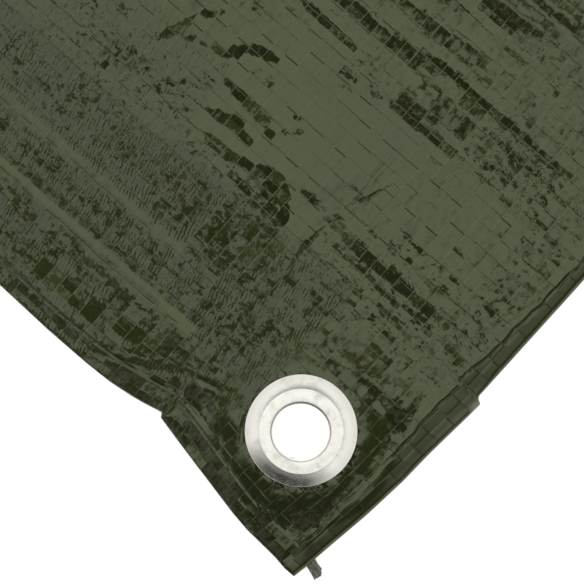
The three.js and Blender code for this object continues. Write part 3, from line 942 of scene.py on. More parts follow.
# How far each edge lies inside the ideal square, at distances along it.
LEFT_EDGE: Table = (
    (0, -4.1), (3, -4.1), (6, -3.7), (15, -3.25), (20, -2.6), (46, 2.1), (46.4, 3.0), (48, 2.6), (50, 2.1),
    (53, 1.5), (58, 0.8), (64, 0.5), (74, 0.45), (87, 0.8), (150, 1.6), (300, 0.4), (470, 1.8), (640, 0.6),
    (780, 1.6), (854, 0.9), (854.4, 0.0), (884, -0.4), (900, 1.2),
)
RIGHT_EDGE: Table = (
    (0, 0.8), (12, -0.6), (46, 0.2), (46.4, 1.2), (170, 0.4), (360, 1.7), (560, 0.5), (720, 1.6), (854, 1.0),
    (854.4, 0.1), (882, -0.8), (900, 1.0),
)
FRONT_EDGE: Table = (
    (0, 5.3), (2.5, 4.8), (9, 3.8), (17, 2.5), (26, 1.5), (33, 1.15), (43, 0.25), (46, 0.0), (46.5, 1.3),
    (75, 0.85), (190, 0.3), (380, 1.5), (610, 0.4), (760, 1.4), (854, 1.0), (854.4, 0.1), (880, 0.2),
    (900, 1.4),
)
BACK_EDGE: Table = (
    (0, 1.0), (14, -0.5), (46, 0.2), (46.4, 1.1), (220, 0.5), (430, 1.6), (650, 0.4), (854, 1.2),
    (854.4, 0.0),
    (885, -0.3), (900, 1.3),
)

# Folds around the photographed corner. A steep flank turns dark and a gentle one stays pale.
CORNER_RIDGES: tuple[Ridge, ...] = (
    # The hem's long crease, which runs into the eyelet: a sharp valley between a low fold and a steep one.
    Ridge(((14.2, 34.0), (13.5, 37.1), (12.5, 41.6), (11.5, 45.6), (9.8, 49.2), (7.4, 52.7), (4.9, 58.1),
           (1.2, 66.2)),
          0.14, 2.5, 1.1, 0.4, 0.06),
    Ridge(((16.5, 34.8), (15.8, 38.0), (14.8, 42.5), (13.8, 46.5), (12.0, 50.2), (9.5, 53.9), (7.0, 59.2),
           (3.3, 67.2)),
          0.4, 1.4, 4.5, 0.7, 0.06),
    Ridge(((19.0, 41), (18.6, 47), (18.0, 53), (17.0, 60)), 0.3, 4.2, 7.0, 0.5),
    Ridge(((2.6, 47.6), (6.0, 46.9), (9.0, 48.2)), 0.3, 1.2, 0.9, 0.7),
    # Fine folds that fan out between the edge and the crease.
    Ridge(((9.6, 47.6), (6.6, 52.0), (4.0, 57.4), (2.2, 63.0)), 0.12, 1.2, 1.1, 0.7),
    Ridge(((7.4, 47.6), (4.8, 52.0), (3.0, 57.0)), 0.12, 1.1, 0.9, 0.7),
    Ridge(((5.2, 47.8), (3.2, 52.6), (1.8, 58.0)), 0.1, 1.0, 0.8, 0.7),
    Ridge(((11.0, 52.2), (9.4, 56.4), (8.8, 61.0)), 0.1, 1.4, 1.0, 0.7),
    Ridge(((13.0, 50.0), (11.6, 56.0), (11.0, 62.0)), 0.1, 1.3, 1.0, 0.6),
    # Creases over the ends of the flaps.
    Ridge(((15, 47.6), (22, 46.6), (30, 47.6), (38, 46.6), (46, 47.4), (54, 46.4), (60, 44.6), (68, 45.4),
           (76, 45)),
          0.2, 1.5, 0.9, 0.7, 0.1),
    Ridge(((15, 42.6), (22, 43.2), (30, 42.4), (37, 43.6)), 0.22, 1.4, 1.0, 0.6),
    Ridge(((24.6, 34.2), (27.6, 37.4), (31.5, 38.0), (35.5, 36.6)), 0.3, 1.4, 1.3, 0.6),
    Ridge(((17, 38.6), (23, 40.4), (29, 40.0)), 0.2, 1.3, 1.1, 0.6),
    # The upright fold right of the eyelet.
    Ridge(((30.2, 6.4), (30.8, 13.0), (30.6, 19.0), (30.2, 25.0), (29.6, 32.0)), 0.16, 2.2, 1.6, 0.5, 0.12),
    Ridge(((34.6, 8.0), (34.8, 18.0), (34.6, 25.0), (34.0, 33)), 0.6, 3.4, 5.0, 0.5, 0.12),
    Ridge(((5.8, 34.5), (6.4, 40.0), (7.2, 46.0)), 0.2, 1.8, 1.6, 0.6),
    # Upright wrinkles in the left hem.
    Ridge(((5.4, 60), (5.9, 70), (6.0, 80), (6.6, 92)), 0.2, 2.6, 1.3, 0.6, 0.15),
    Ridge(((11.2, 64), (11.8, 72), (11.4, 82)), 0.2, 1.6, 1.5),
    Ridge(((16.6, 62), (16.8, 70), (16.4, 80)), 0.2, 1.6, 1.3),
    Ridge(((19.0, 50), (19.4, 66), (19.0, 84), (19.4, 116)), 0.2, 2.6, 3.0, 0.3, 0.2),
    Ridge(((29.4, 62), (29.8, 80), (30.0, 104), (29.4, 132)), 0.2, 3.4, 4.0, 0.3, 0.2),
    Ridge(((42.0, 50), (42.6, 70), (41.6, 96), (42, 132)), 0.15, 6.6, 8.0),
    # The lobed step up to the smooth pale field.
    Ridge(((54.6, 47), (55.6, 53), (55.4, 58), (52.4, 64), (51.4, 70), (51.2, 77)),
          0.15, 4.6, 26.0, 0.45, 0.16),
    Ridge(((57.2, 67), (57.6, 73), (57.4, 80)), 0.1, 3.0, 2.0, 0.5, 0.3),
    Ridge(((62.4, 64), (62.6, 71), (61.6, 80)), 0.12, 3.2, 12.0, 0.5, 0.35),
    # Thin bent creases at the top.
    Ridge(((57.4, 96.6), (62.0, 95.2), (66.6, 93.8), (69.6, 91.6), (73.2, 87.6)), 0.1, 4.0, 2.5, 0.6, 0.1),
    Ridge(((63.2, 89.8), (65.4, 86.4), (67.0, 83.2), (69.8, 81.0), (71.6, 77.8), (71.8, 73.6)),
          0.15, 5.0, 3.0, 0.6, 0.12),
    Ridge(((44, 103.4), (49, 101.0), (54, 98.6), (58, 97.6)), 0.25, 2.2, 1.4, 0.6),
    Ridge(((46, 98.0), (51, 94.6), (56, 90.6)), 0.2, 2.2, 1.3),
    Ridge(((74.6, 88), (75.2, 84), (75.0, 80)), 0.2, 1.4, 1.6, 0.6),
    # Long low bands at the right.
    Ridge(((83.2, 26), (82.4, 40), (82.2, 50), (82.6, 56)), 0.2, 4.2, 6.0, 0.5, 0.16),
    Ridge(((84.2, 58), (84.4, 68), (83.6, 80)), 0.12, 2.4, 4.0, 0.5, 0.3),
    Ridge(((93.4, 26), (93.0, 38), (92.8, 48), (91.6, 56), (91.0, 66), (91.2, 80)),
          0.18, 3.8, 5.0, 0.6, 0.12),
    Ridge(((99.6, 34), (99.2, 46), (98.2, 56), (97.6, 68)), 0.15, 3.2, 4.4, 0.6, 0.2),
    Ridge(((105.2, 42), (104.8, 50), (105.4, 70)), 0.12, 2.8, 2.8, 0.6),
    Ridge(((109.4, 34), (109.0, 48), (109.6, 68)), 0.9, 3.0, 3.4, 0.6),
    Ridge(((115.0, 30), (114.6, 46), (115.4, 62)), 0.8, 2.8, 3.6),
    Ridge(((54.8, 9), (54.6, 22), (55.0, 36)), 0.1, 2.4, 2.2, 0.5, 0.15),
)

# Lines along which the cloth is pinched to a sharp crease: at the notch, left of the eyelet, and over the
# end of the front flap.
PINCHES: tuple[Table, ...] = (
    ((2.6, 46.3), (4.2, 45.5), (6.0, 45.4), (8.2, 46.4), (10.2, 46.7), (12.0, 48.0)),
    ((8.6, 30.6), (11.0, 32.4), (13.4, 33.6)),
    ((60.2, 44.6), (62.0, 43.6), (64.4, 42.8)),
)

# Long soft ridges in the rest of the field, as in the solids: x, from, to, lean, high and half width.
FIELD_RIDGES: tuple[tuple[float, ...], ...] = (
    (140, 60, 400, 10, 2.6, 20), (108, 390, 800, 16, 2.8, 24), (196, 230, 690, -14, 3.2, 24),
    (248, 60, 360, 12, 2.8, 26), (262, 480, 850, -12, 3.0, 24), (372, 110, 560, 10, 3.4, 28),
    (428, 410, 840, -14, 3.2, 28), (492, 60, 500, 12, 3.2, 28), (540, 420, 780, -8, 2.8, 24),
    (652, 130, 600, -16, 3.4, 28), (700, 520, 850, 10, 2.8, 24), (744, 60, 420, 8, 3.0, 24),
    (806, 260, 700, -10, 2.6, 22),
)
FIELD_TAPER = 0.35

# Straight creases that packing leaves: whether it crosses x or y, where, its height and half its width.
PACKING_CREASES: tuple[tuple[str, float, float, float], ...] = (
    ("x", 305, 2.4, 16), ("x", 598, 2.8, 16), ("y", 322, 2.6, 20), ("y", 611, 2.2, 20),
)

# Small wrinkles of the cloth itself, around the photographed corner.
CRUMPLES: tuple[Crumple, ...] = (
    Crumple((-8, 50), (18, 128), 0.12, 2.2, 3.0, 11),
    Crumple((18, 50), (45, 128), 0.1, 5.0, 2.1, 12),
    Crumple((-8, 8), (44, 46), 0.11, 3.2, 4.2, 13),
    Crumple((44, 8), (128, 44), 0.1, 2.8, 5.0, 14),
    Crumple((80, 44), (128, 128), 0.08, 2.8, 11.0, 15),
    Crumple((42, 82), (80, 128), 0.14, 5.0, 2.8, 16),
)

# Where the fine wrinkles are, around the photographed corner. A later patch counts over an earlier one.
PATCHES: tuple[Patch, ...] = (
    # The left hem: dashes, and hatching on some tapes.
    Patch((-6, 46), (46.0, 130), Wrinkle.DASH, 0.9),
    Patch((44, 80), (64, 130), Wrinkle.DASH, 0.28),
    Patch((20.4, 50), (22.6, 130), Wrinkle.HATCH, -1.0, 0.6),
    Patch((23.9, 52), (25.8, 130), Wrinkle.HATCH, -1.0, 0.6),
    Patch((36.0, 48), (44.0, 90), Wrinkle.HATCH, -0.6, 1.5),
    # The double cloth right of the eyelet.
    Patch((14, 34), (46, 52), Wrinkle.DASH, 0.8),
    Patch((30, 8), (62, 48), Wrinkle.BLOT, 0.5),
    Patch((62, 5), (80, 16), Wrinkle.BLOT, 0.38),
    Patch((62, 16), (78, 40), Wrinkle.BLOT, 0.28),
    Patch((78, 4), (130, 48), Wrinkle.BLOT, 0.45),
    Patch((74.6, 8), (76.5, 40), Wrinkle.HATCH, 0.7, 0.6),
    Patch((78.0, 8), (80.2, 36), Wrinkle.HATCH, 1.0, 0.6),
    Patch((82.5, 8), (84.4, 36), Wrinkle.HATCH, 1.0, 0.6),
    Patch((86.0, 8), (88.0, 36), Wrinkle.HATCH, 1.0, 0.6),
    Patch((52.0, 10), (54.4, 42), Wrinkle.HATCH, 0.9, 0.6),
    # The bands at the right.
    Patch((76, 48), (130, 130), Wrinkle.BLOT, 0.35),
)

# Smooth tapes that stay pale: from x and y to x and y, the share of all fine wrinkles that is missing, and
# how soft the outline is.
CALM: tuple[tuple[float, ...], ...] = (
    (17.7, 52, 20.3, 130, 1.0, 0.3),
    (28.0, 64, 30.8, 130, 0.8, 0.4),
    (76.5, 0, 78.1, 60, 1.0, 0.3),
    (56.0, 30.2, 130, 31.8, 0.9, 0.3),
    (50.0, 35.3, 130, 36.8, 0.8, 0.3),
)

# How much of the film tips, by upright rectangles: from x and y to x and y, and the share. In order.
SHADES: tuple[tuple[float, ...], ...] = (
    # The left hem.
    (-6, 46, 6.5, 130, 0.45),
    (1, 46, 13, 66, 1.0),
    (6.3, 60, 13.2, 85, 0.85),
    (6.3, 85, 17.5, 130, 0.52),
    (13, 50, 17.4, 85, 0.55),
    (13, 44, 17, 57, 1.2),
    (20.3, 50, 22.4, 130, 0.66),
    (22.4, 50, 24, 66, 0.5),
    (22.4, 66, 24, 130, 0.3),
    (24, 50, 26, 85, 0.55),
    (24, 85, 26, 130, 0.62),
    (26, 50, 28, 130, 0.42),
    (28, 50, 31.5, 64, 0.55),
    (31.5, 50, 45, 66, 0.66),
    (31.5, 66, 44, 75, 0.62),
    (31.5, 75, 44, 130, 0.46),
    (36, 84, 44, 100, 0.5),
    (26, 64.2, 45, 66.4, 0.1),
    (17.7, 50, 20.3, 130, -0.2),
    (28.2, 64, 30.9, 130, -0.1),
    (28.3, 56, 29.3, 64, -0.3),
    (0, 83, 5, 85.2, 0.9),
    (32.6, 76, 34.2, 81, -0.2),
    # The lobe and the field's left side.
    (45, 66, 49.4, 80, 0.5),
    (45.4, 52.4, 48.6, 66, 0.75),
    (48.4, 56, 52.2, 65, 0.72),
    (53.2, 50.8, 55.2, 54.2, 0.8),
    (53.6, 47.6, 55.2, 50.6, 0.6),
    (59.8, 63.8, 61.6, 65.8, 0.8),
    (64, 63.4, 65.1, 65.8, 0.9),
    (65, 72.4, 67.6, 74.4, 0.7),
    (65, 76, 67.2, 79.4, 0.4),
    (67, 80, 76, 90, 0.15),
    (74.8, 83, 76.2, 86, 0.6),
    (44, 80, 60, 130, 0.42),
    # The bands at the right.
    (76.8, 60, 79, 64.8, 0.7),
    (77.2, 54, 79.3, 58.8, 0.65),
    (80, 57, 84, 64, 0.5),
    (83, 66.6, 83.4, 78, 0.6),
    (83.3, 66.6, 85.8, 77, 0.4),
    (80.6, 50, 84.6, 53.4, 0.6),
    (86.6, 64, 88.4, 75, 0.75),
    (86.6, 47, 98, 130, 0.25),
    (90, 44, 93, 47.4, 0.7),
    (84.8, 44, 87.2, 51, 0.6),
    (100.8, 52, 103, 58.8, 1.0),
    (104.3, 43.4, 107, 52.8, 1.0),
    (100.3, 43, 101.3, 46, 0.8),
    (78.4, 36, 80.6, 53.2, 1.15),
    (80.6, 42, 82.6, 53, 0.85),
    (82.4, 36.6, 86.6, 46.6, 1.15),
    (87.7, 36.6, 90, 43, 0.95),
    (88, 23, 90, 36, 0.5),
    (93.3, 31.4, 94.7, 40.8, 0.6),
    (78.4, 20, 80.8, 35, 0.35),
    (82.6, 24, 84.4, 35.4, 0.5),
    (86.2, 20, 88, 35.4, 0.55),
    (80.8, 6, 85.4, 18, 0.35),
    (92, 12, 130, 44, 0.4),
    (80.8, 16, 92, 36, 0.55),
    # The double cloth right of the eyelet.
    (60, 22.6, 61.3, 35.4, 0.6),
    (48, 8, 52, 46, 0.46),
    (54.7, 8, 56.3, 44, 0.42),
    (56.5, 8, 60, 40, 0.36),
    (45.4, 26, 47.6, 36, 0.45),
    (44, 5.6, 80, 16, 0.45),
    (48, 8, 50.2, 10, 0.9),
    # The corner square.
    (14, 44, 45, 50, 0.55),
    (8, 8, 31, 36, 0.75),
    (15, 34, 31, 44, 0.58),
    (31, 30, 46, 50, 0.45),
    (-6, 6, 8, 46, 1.1),
    (8, 34, 14.6, 46, 1.2),
    (6, 8, 12, 20, 1.15),
    (12, 8, 31, 12.6, 0.95),
    (-6, 4.5, 31, 8.4, 0.5),
    (31.1, 8, 34.4, 31, 1.3),
    (34, 8, 36.6, 30, 0.6),
    (37, 8, 41.4, 44, 0.36),
    (41.4, 8, 44, 44, 0.5),
    (44, 8, 48, 50, 0.46),
    (5.3, 36, 7.3, 43.4, 0.1),
    (14.5, 30, 24, 34.6, 0.9),
)

# Single lines on which the film tips, or on which it stays flat between tipped tapes. In order.
STREAKS: tuple[Streak, ...] = (
    # The hem's long crease and the notch.
    Streak(((2.6, 66.8), (4.4, 62.8), (6.3, 58.8), (8.8, 53.4), (11.2, 49.9), (13.0, 46.1), (14.0, 42.1),
            (15.0, 37.6),
            (15.7, 34.4)), 2.4, -0.5, 0.05),
    Streak(((3, 46.2), (5, 45.4), (9.5, 46.6), (12, 48)), 1.9, -0.5, 0.1),
    # Pale lines in the left hem.
    Streak(((5.2, 64), (5.9, 72), (5.8, 84)), 1.4, -0.4),
    Streak(((8.3, 66), (8.6, 60)), 1.4, -0.4),
    Streak(((11.3, 84), (12, 77)), 1.1, -0.4),
    Streak(((11.2, 75), (11.6, 70)), 1.0, -0.4),
    Streak(((15, 77), (14.6, 72)), 0.9, -0.4),
    Streak(((32.6, 76.4), (33.8, 80.6)), 0.8, -0.5),
    Streak(((3.4, 84), (3.0, 74), (3.6, 68)), 0.9, 1.0),
    # The corner square: pale rays from the eyelet, and the fold right of it.
    Streak(((8.5, 30.2), (3.6, 26), (-0.5, 19)), 1.3, -0.5),
    Streak(((8, 28.4), (4, 25), (1, 20)), 1.0, -0.5),
    Streak(((8, 26.6), (5, 24.4), (3, 22)), 0.9, -0.5),
    Streak(((9.4, 20), (8.6, 16.4), (8.6, 13)), 1.1, -0.5),
    Streak(((3.2, 17), (3.4, 12)), 1.4, -0.5),
    Streak(((7.0, 44.6), (6.4, 40), (6.0, 35)), 1.6, -0.4),
    Streak(((30.4, 28), (30.6, 18), (30.0, 8)), 0.9, -0.5, 0.1),
    Streak(((14, 33.4), (10.6, 31.4), (8.0, 28.6)), 0.8, 1.2),
    # The lobe's edge, and the two dark leaves beside it.
    Streak(((50.1, 77), (50.2, 70), (51.0, 65.2), (53.0, 60.8), (52.4, 57.6), (49.6, 55), (46.2, 52.4)),
           1.9, 1.3, 0.08),
    Streak(((53.9, 79), (54.9, 75.4), (55.3, 72), (54.4, 68.8)), 3.2, 1.3, 0.45),
    Streak(((60.7, 79.6), (60.4, 75), (59.9, 70.4), (58.6, 66.4)), 2.9, 1.3, 0.45),
    # Long dark bands at the right.
    Streak(((88.4, 78), (88.0, 69), (87.8, 62), (88.4, 57.6), (89.8, 52.6), (91.2, 47)), 2.9, 1.3, 0.1),
    Streak(((95.0, 66), (95.6, 60), (96.0, 53), (96.6, 47), (96.3, 42.6)), 2.5, 1.3, 0.15),
    Streak(((82.7, 80), (82.5, 73), (82.3, 65.6)), 1.4, 1.2, 0.15),
    Streak(((87.1, 56), (87.0, 48), (87.1, 42)), 1.2, 1.2, 0.15),
    Streak(((90.9, 46), (90.8, 36), (90.9, 27), (90.7, 17)), 1.7, 1.1, 0.1),
    Streak(((87.2, 35), (87.0, 27), (87.1, 19)), 1.4, 0.75, 0.15),
    Streak(((53.1, 43), (53.0, 33), (53.2, 24), (53.0, 15)), 1.8, 1.15, 0.1),
    Streak(((50.0, 42), (50.2, 33), (49.8, 26)), 1.1, 0.9, 0.2),
    # Thin bent creases at the top of the field.
    Streak(((57.5, 95.8), (62, 94.3), (66.5, 93), (69, 91), (71, 88.5)), 1.3, 1.4),
    Streak(((60, 93.3), (61.8, 91.8), (63.5, 90)), 0.8, 1.1),
    Streak(((63, 88.5), (64.2, 86), (65, 83.5), (67, 82), (69, 80), (70.5, 75)), 1.9, 1.4),
    Streak(((53, 88.5), (54.2, 87.2), (55.5, 85.5)), 0.8, 0.9),
    Streak(((60.5, 64), (62.4, 62.8), (64, 62)), 0.7, 1.1),
    Streak(((57.4, 72.6), (58.6, 76), (60, 79)), 1.1, -0.5),
    Streak(((75, 62.8), (75.6, 61.4), (75.4, 59.6)), 0.6, 1.0),
    Streak(((54.8, 47), (55.1, 45.6), (55.4, 44.2)), 0.8, 1.4),
    Streak(((46, 101.4), (50, 98.6), (53, 97.4)), 0.9, 0.9),
    Streak(((48, 91), (52, 88.6)), 0.8, 0.7),
)

# The hollow along the upright fold right of the eyelet.
LEE = Streak(((31.6, 30.5), (32.6, 24.0), (33.0, 16.0), (32.8, 8.6)), 3.2, 1.2)

# How far inside the edge the front hem's heat seal lies, at distances along it.
FRONT_SEAL: Table = ((-5, 5.0), (10, 4.9), (20, 5.3), (30, 5.7), (45, 6.3), (52, 4.8), (60, 4.2), (80, 3.2),
                     (104, 4.4))


@dataclass
class TarpCloth:
    """The one cloth of the tarp: a square cut of 992 mm whose four edges are turned under as hems.

    Lengths are in mm, and levels are heights above the floor.
    """

    finish: LaminatedWeave = field(default_factory=LaminatedWeave)

    # The fold's radius, and how far inside the edge the heat seal closes the rope's tunnel.
    turn_radius: float = 0.8
    tunnel: float = 5.6

    # How high the cloth swells over the rope, the side hems' share of that, and how wide its flanks are.
    rope_rise: float = 0.44
    side_rise: float = 0.12
    rope_width: float = 4.2
    rope_fall: float = 2.6

    # How high the upper layer lies in the field, the hems and the corners, and the flaps beneath it.
    field_level: float = 0.5
    hem_level: float = 0.95
    corner_level: float = 1.35
    layer: float = 0.15
    side_layer: float = 0.7
    second_layer: float = 0.35

    # How high an eyelet lifts the cloth, about where that fades, its hole, and the short folds around it.
    hardware_lift: float = 1.6
    lift_near: float = 12.0
    lift_far: float = 16.0
    hole_radius: float = 6.7
    pucker_high: float = 0.16

    # The share of fine wrinkles where no table gives one, the share of film that is drawn smooth over the
    # rope, and how soft the rectangles of SHADES are.
    bare_share: float = 0.06
    drawn_smooth: float = -0.5
    shade_edge: float = 0.5

    # The mesh: the close-up around the photographed corner, and the fine and the coarse step.
    close_up: float = 124.0
    view_half: float = 59.0
    fine: float = 0.53
    coarse: float = 4.8
    hem_step: float = 3.0
    turn_points: int = 7
    kept_edge_rows: int = 8
    thinned: int = 4
    places: list[Point] = field(default_factory=list)
    faces: list[tuple[int, ...]] = field(default_factory=list)

    # Places across a hem's flap, finer by the rope.
    FLAP = (-HEM, -43.0, *range(-38, -7, 5), -6.2, -4.2, -2.6)

    # Where the front hem's smooth band fades, from its heat seal, and where the photographed part does.
    SMOOTH_FADE = (-1.0, 0.2)
    VIEW_FADE = (110.0, 150.0)

    @property
    def arc(self) -> float:
        """Half the cloth's length around a turned edge."""
        return self.turn_radius * math.pi / 2

    def turned_steps(self) -> list[float]:
        """Return the places from a flap's end to the end of the turned edge."""
        return [*self.FLAP, *np.linspace(-self.arc, self.arc, self.turn_points)]

    def coarse_steps(self, start: float) -> list[float]:
        """Return coarse places from a start to the far flap's end.

        Args:
            start: where they start, in mm.

        Returns:
            The places in mm, in order.
        """
        hem = [SPAN - step for step in np.arange(HEM + 1, 2.0, -self.hem_step)]
        count = round((hem[0] - start) / self.coarse)
        field_steps = np.linspace(start, hem[0], count + 1)[1:]
        far_edge = [SPAN - step for step in reversed(self.turned_steps())]
        return [*field_steps, *hem[1:], *far_edge]

    def fine_steps(self) -> list[float]:
        """Return fine places from the near flap's end to the end of the close-up."""
        inner = np.arange(self.arc + self.fine, self.close_up, self.fine)
        return [*self.turned_steps(), *inner, self.close_up]

    def near_steps(self) -> list[float]:
        """Return coarse places from the near flap's end to the end of the close-up."""
        hem = np.arange(3.5, HEM + 2, self.hem_step)
        return [*self.turned_steps(), *hem, *np.linspace(HEM + 4.5, self.close_up, 17)]

    def in_view(self, x: float, y: float) -> bool:
        """Tell whether a place lies in the photograph's square, with a small margin.

        Args:
            x: the place's x.
            y: its y.

        Returns:
            Whether it lies there.
        """
        turn = math.radians(VIEW_TURN)
        dx, dy = x - VIEW_CENTRE[0], y - VIEW_CENTRE[1]
        across = dx * math.cos(turn) + dy * math.sin(turn)
        up = dy * math.cos(turn) - dx * math.sin(turn)
        return max(abs(across), abs(up)) < self.view_half

    def line(self, places: Sequence[Point]) -> list[int]:
        """Register places on the cut cloth and return their point numbers.

        Args:
            places: x and y of each new point.

        Returns:
            The points' numbers, in order.
        """
        first = len(self.places)
        self.places.extend(places)
        return list(range(first, len(self.places)))

    def strip(self, near_keys: Sequence[float], near: list[int], far_keys: Sequence[float], far: list[int],
              flip: bool = False) -> None:
        """Fill the strip between two lines of points, with quads where their steps agree.

        Args:
            near_keys: how far along the near line each of its points lies.
            near: the near line's point numbers.
            far_keys: the same for the far line.
            far: the far line's point numbers.
            flip: whether to turn the faces over.
        """
        a = b = 0
        while a < len(near) - 1 or b < len(far) - 1:
            can_near, can_far = a < len(near) - 1, b < len(far) - 1
            if can_near and can_far and near_keys[a] == far_keys[b] and near_keys[a + 1] == far_keys[b + 1]:
                face = (near[a], near[a + 1], far[b + 1], far[b])
                a, b = a + 1, b + 1
            elif not can_far or (can_near
                                 and near_keys[a + 1] + near_keys[a] <= far_keys[b + 1] + far_keys[b]):
                face = (near[a], near[a + 1], far[b])
                a += 1
            else:
                face = (near[a], far[b + 1], far[b])
                b += 1
            self.faces.append(face[::-1] if flip else face)

    def lay_out(self) -> None:
        """Make the cut cloth's points and faces: fine at the photographed corner and coarse elsewhere."""
        fine = self.fine_steps()
        near = self.near_steps()
        sides = self.coarse_steps(self.close_up)
        kept = len(self.turned_steps()) + self.kept_edge_rows
        previous: tuple[list[float], list[int]] | None = None
        rim: list[int] = []
        for y in fine:
            keys = [x for index, x in enumerate(fine)
                    if index < kept or index % self.thinned == 0 or x == fine[-1] or self.in_view(x, y)]
            ids = self.line([(x, y) for x in keys])
            if previous:
                self.strip(previous[0], previous[1], keys, ids)
            previous = (keys, ids)
            rim.append(ids[-1])
        corner_keys, corner_ids = previous
        before_keys, before = fine, rim
        tops: list[int] = []
        for x in sides:
            ids = self.line([(x, y) for y in near])
            self.strip(before_keys, before, near, ids, flip=True)
            before_keys, before = near, ids
            tops.append(ids[-1])
        whole = [*near, *sides]
        before_keys, before = [*corner_keys, *sides], [*corner_ids, *tops]
        for y in sides:
            ids = self.line([(x, y) for x in whole])
            self.strip(before_keys, before, whole, ids)
            before_keys, before = whole, ids

    def turned(self, inward: Array) -> tuple[Array, Array]:
        """Fold a coordinate about its edge.

        Args:
            inward: distance from the fold line on the cut cloth, negative on the flap.

        Returns:
            The distance that the point really lies inside the edge, and how far it has turned under, 0 to 1.
        """
        angle = np.clip(inward / self.arc, -1, 1) * math.pi / 2
        beyond = np.maximum(np.abs(inward) - self.arc, 0)
        return self.turn_radius * (1 - np.cos(angle)) + beyond, 0.5 - 0.5 * np.sin(angle)

    def outlined(self, x: Array, y: Array) -> tuple[Array, Array]:
        """Draw points of the ideal square in or out to the tarp's uneven edges.

        Args:
            x: the points' x in the ideal square.
            y: their y.

        Returns:
            The points' x and y as they lie.
        """
        real_x, real_y = x.copy(), y.copy()
        for table, inward, along, target, sign in (
            (LEFT_EDGE, x, y, real_x, 1), (RIGHT_EDGE, SPAN - x, y, real_x, -1),
            (FRONT_EDGE, y, x, real_y, 1), (BACK_EDGE, SPAN - y, x, real_y, -1),
        ):
            at, inset = np.array(table).T
            target += sign * np.interp(along, at, inset) * np.clip(1 - inward / HEM, 0, 1)
        return real_x, real_y

    def field_folds(self, x: Array, y: Array) -> Array:
        """Return the height of the long ridges and packing creases of the whole tarp.

        Args:
            x: the places' x.
            y: the places' y.

        Returns:
            One height in mm for each place.
        """
        wander, crease_fade = 3.0, 60.0
        ridges = np.zeros_like(x)
        for at, start, end, lean, high, half in FIELD_RIDGES:
            along = (y - start) / (end - start)
            crest = at + lean * (along - 0.5) + wander * np.sin(5 * along + at)
            share = np.clip(np.abs(x - crest) / half, 0, 1)
            fade = smooth(0, FIELD_TAPER, along) * smooth(0, FIELD_TAPER, 1 - along)
            ridges += high * (0.5 + 0.5 * np.cos(np.pi * share)) * fade
        edge = np.minimum.reduce([x, y, SPAN - x, SPAN - y])
        creases = np.zeros_like(x)
        for axis, at, high, half in PACKING_CREASES:
            share = np.clip(1 - np.abs((x if axis == "x" else y) - at) / half, 0, 1)
            creases += high * share ** 2 * smooth(0, crease_fade, edge)
        return np.maximum(ridges * smooth(0, HEM, edge), creases)

    def near_eyelets(self, x: Array, y: Array) -> Array:
        """Return the distance to the nearest eyelet's centre."""
        return np.minimum.reduce([np.hypot(x - cx, y - cy) for cx, cy in CENTRES.values()])

    def puckers(self, x: Array, y: Array) -> Array:
        """Return the short folds that radiate from each eyelet, where its flange pinches the cloth.

        Args:
            x: the places' x.
            y: the places' y.

        Returns:
            One height in mm for each place.
        """
        rays, twist, flange = 9, 0.22, 11.0
        height = np.zeros_like(x)
        for index, (cx, cy) in enumerate(CENTRES.values()):
            away = np.hypot(x - cx, y - cy)
            turn = np.arctan2(y - cy, x - cx)
            swell = smooth(flange - 2, flange + 1, away) * (1 - smooth(flange + 2, flange + 10, away))
            wave = np.sin(rays * turn + 1.2 * np.sin(3 * turn + index) + twist * (away - flange) + index)
            uneven = 0.6 + 0.4 * np.sin(2 * turn + 2.4 + index)
            height += self.pucker_high * swell * wave * uneven
        return height

    def front_seal(self, x: Array) -> Array:
        """Return how far inside the front edge its heat seal lies, with the waver of a hand-led seam."""
        at, inside = np.array(FRONT_SEAL).T
        return np.interp(x, at, inside) + 0.12 * np.sin(x / 1.9) + 0.1 * np.sin(x / 0.8)

    def seals(self, cut: Array) -> Array:
        """Return how far inside the heat seal each point of the cut cloth lies, from -5 to 5 mm.

        Args:
            cut: x and y of each point on the cut cloth.

        Returns:
            One distance for each point.
        """
        x, y = cut.T
        sway = self.tunnel - 0.6 + 0.5 * np.sin((x + y) / 23.0) + 0.3 * np.sin((x - y) / 9.0)
        near = 1 - smooth(96, 110, x)
        front = near * self.front_seal(x) + (1 - near) * sway
        gaps = np.minimum.reduce([x - sway, y - front, SPAN - x - sway, SPAN - y - sway])
        return np.clip(gaps, -5.0, 5.0)

    def pinched(self, cut: Array, placed: Array) -> Array:
        """Return how far each point lies from the nearest heat seal or sharp crease, by side.

        Args:
            cut: x and y of each point on the cut cloth.
            placed: x and y of each point as it lies.

        Returns:
            One distance in mm for each point, negative on one side.
        """
        gaps = self.seals(cut)
        for line in PINCHES:
            near, distance, _, is_left = beside(line, 3.0, *placed.T)
            signed = np.where(is_left, distance, -distance)
            gaps[near] = np.where(distance < np.abs(gaps[near]), signed, gaps[near])
        return gaps

    def tapes(self, cut: Array) -> Array:
        """Return the place of each point in whole tapes of the weave, whose widths are a little uneven.

        Args:
            cut: x and y of each point on the cut cloth.

        Returns:
            A row of two numbers for each point.
        """
        x, y = cut.T
        wide, tall = self.finish.tape_x, self.finish.tape_y
        columns = (x + 0.8 * Grain(51).at(x / 8.5, 0 * x) + 0.7 * Grain(52).at(0 * x, y / 70)) / wide
        rows = (y + 0.7 * Grain(53).at(y / 7.5, 0 * y) + 0.7 * Grain(54).at(x / 70, 0 * x)) / tall
        return np.column_stack([columns, rows])

    def folds(self, x: Array, y: Array, clear: Array) -> Array:
        """Return how far folds and eyelets lift the whole cloth at each point.

        Args:
            x: the points' x as they lie.
            y: their y.
            clear: 0 beside an eyelet, where no fold can be, and 1 elsewhere.

        Returns:
            One height in mm for each point.
        """
        lift = self.field_folds(x, y)
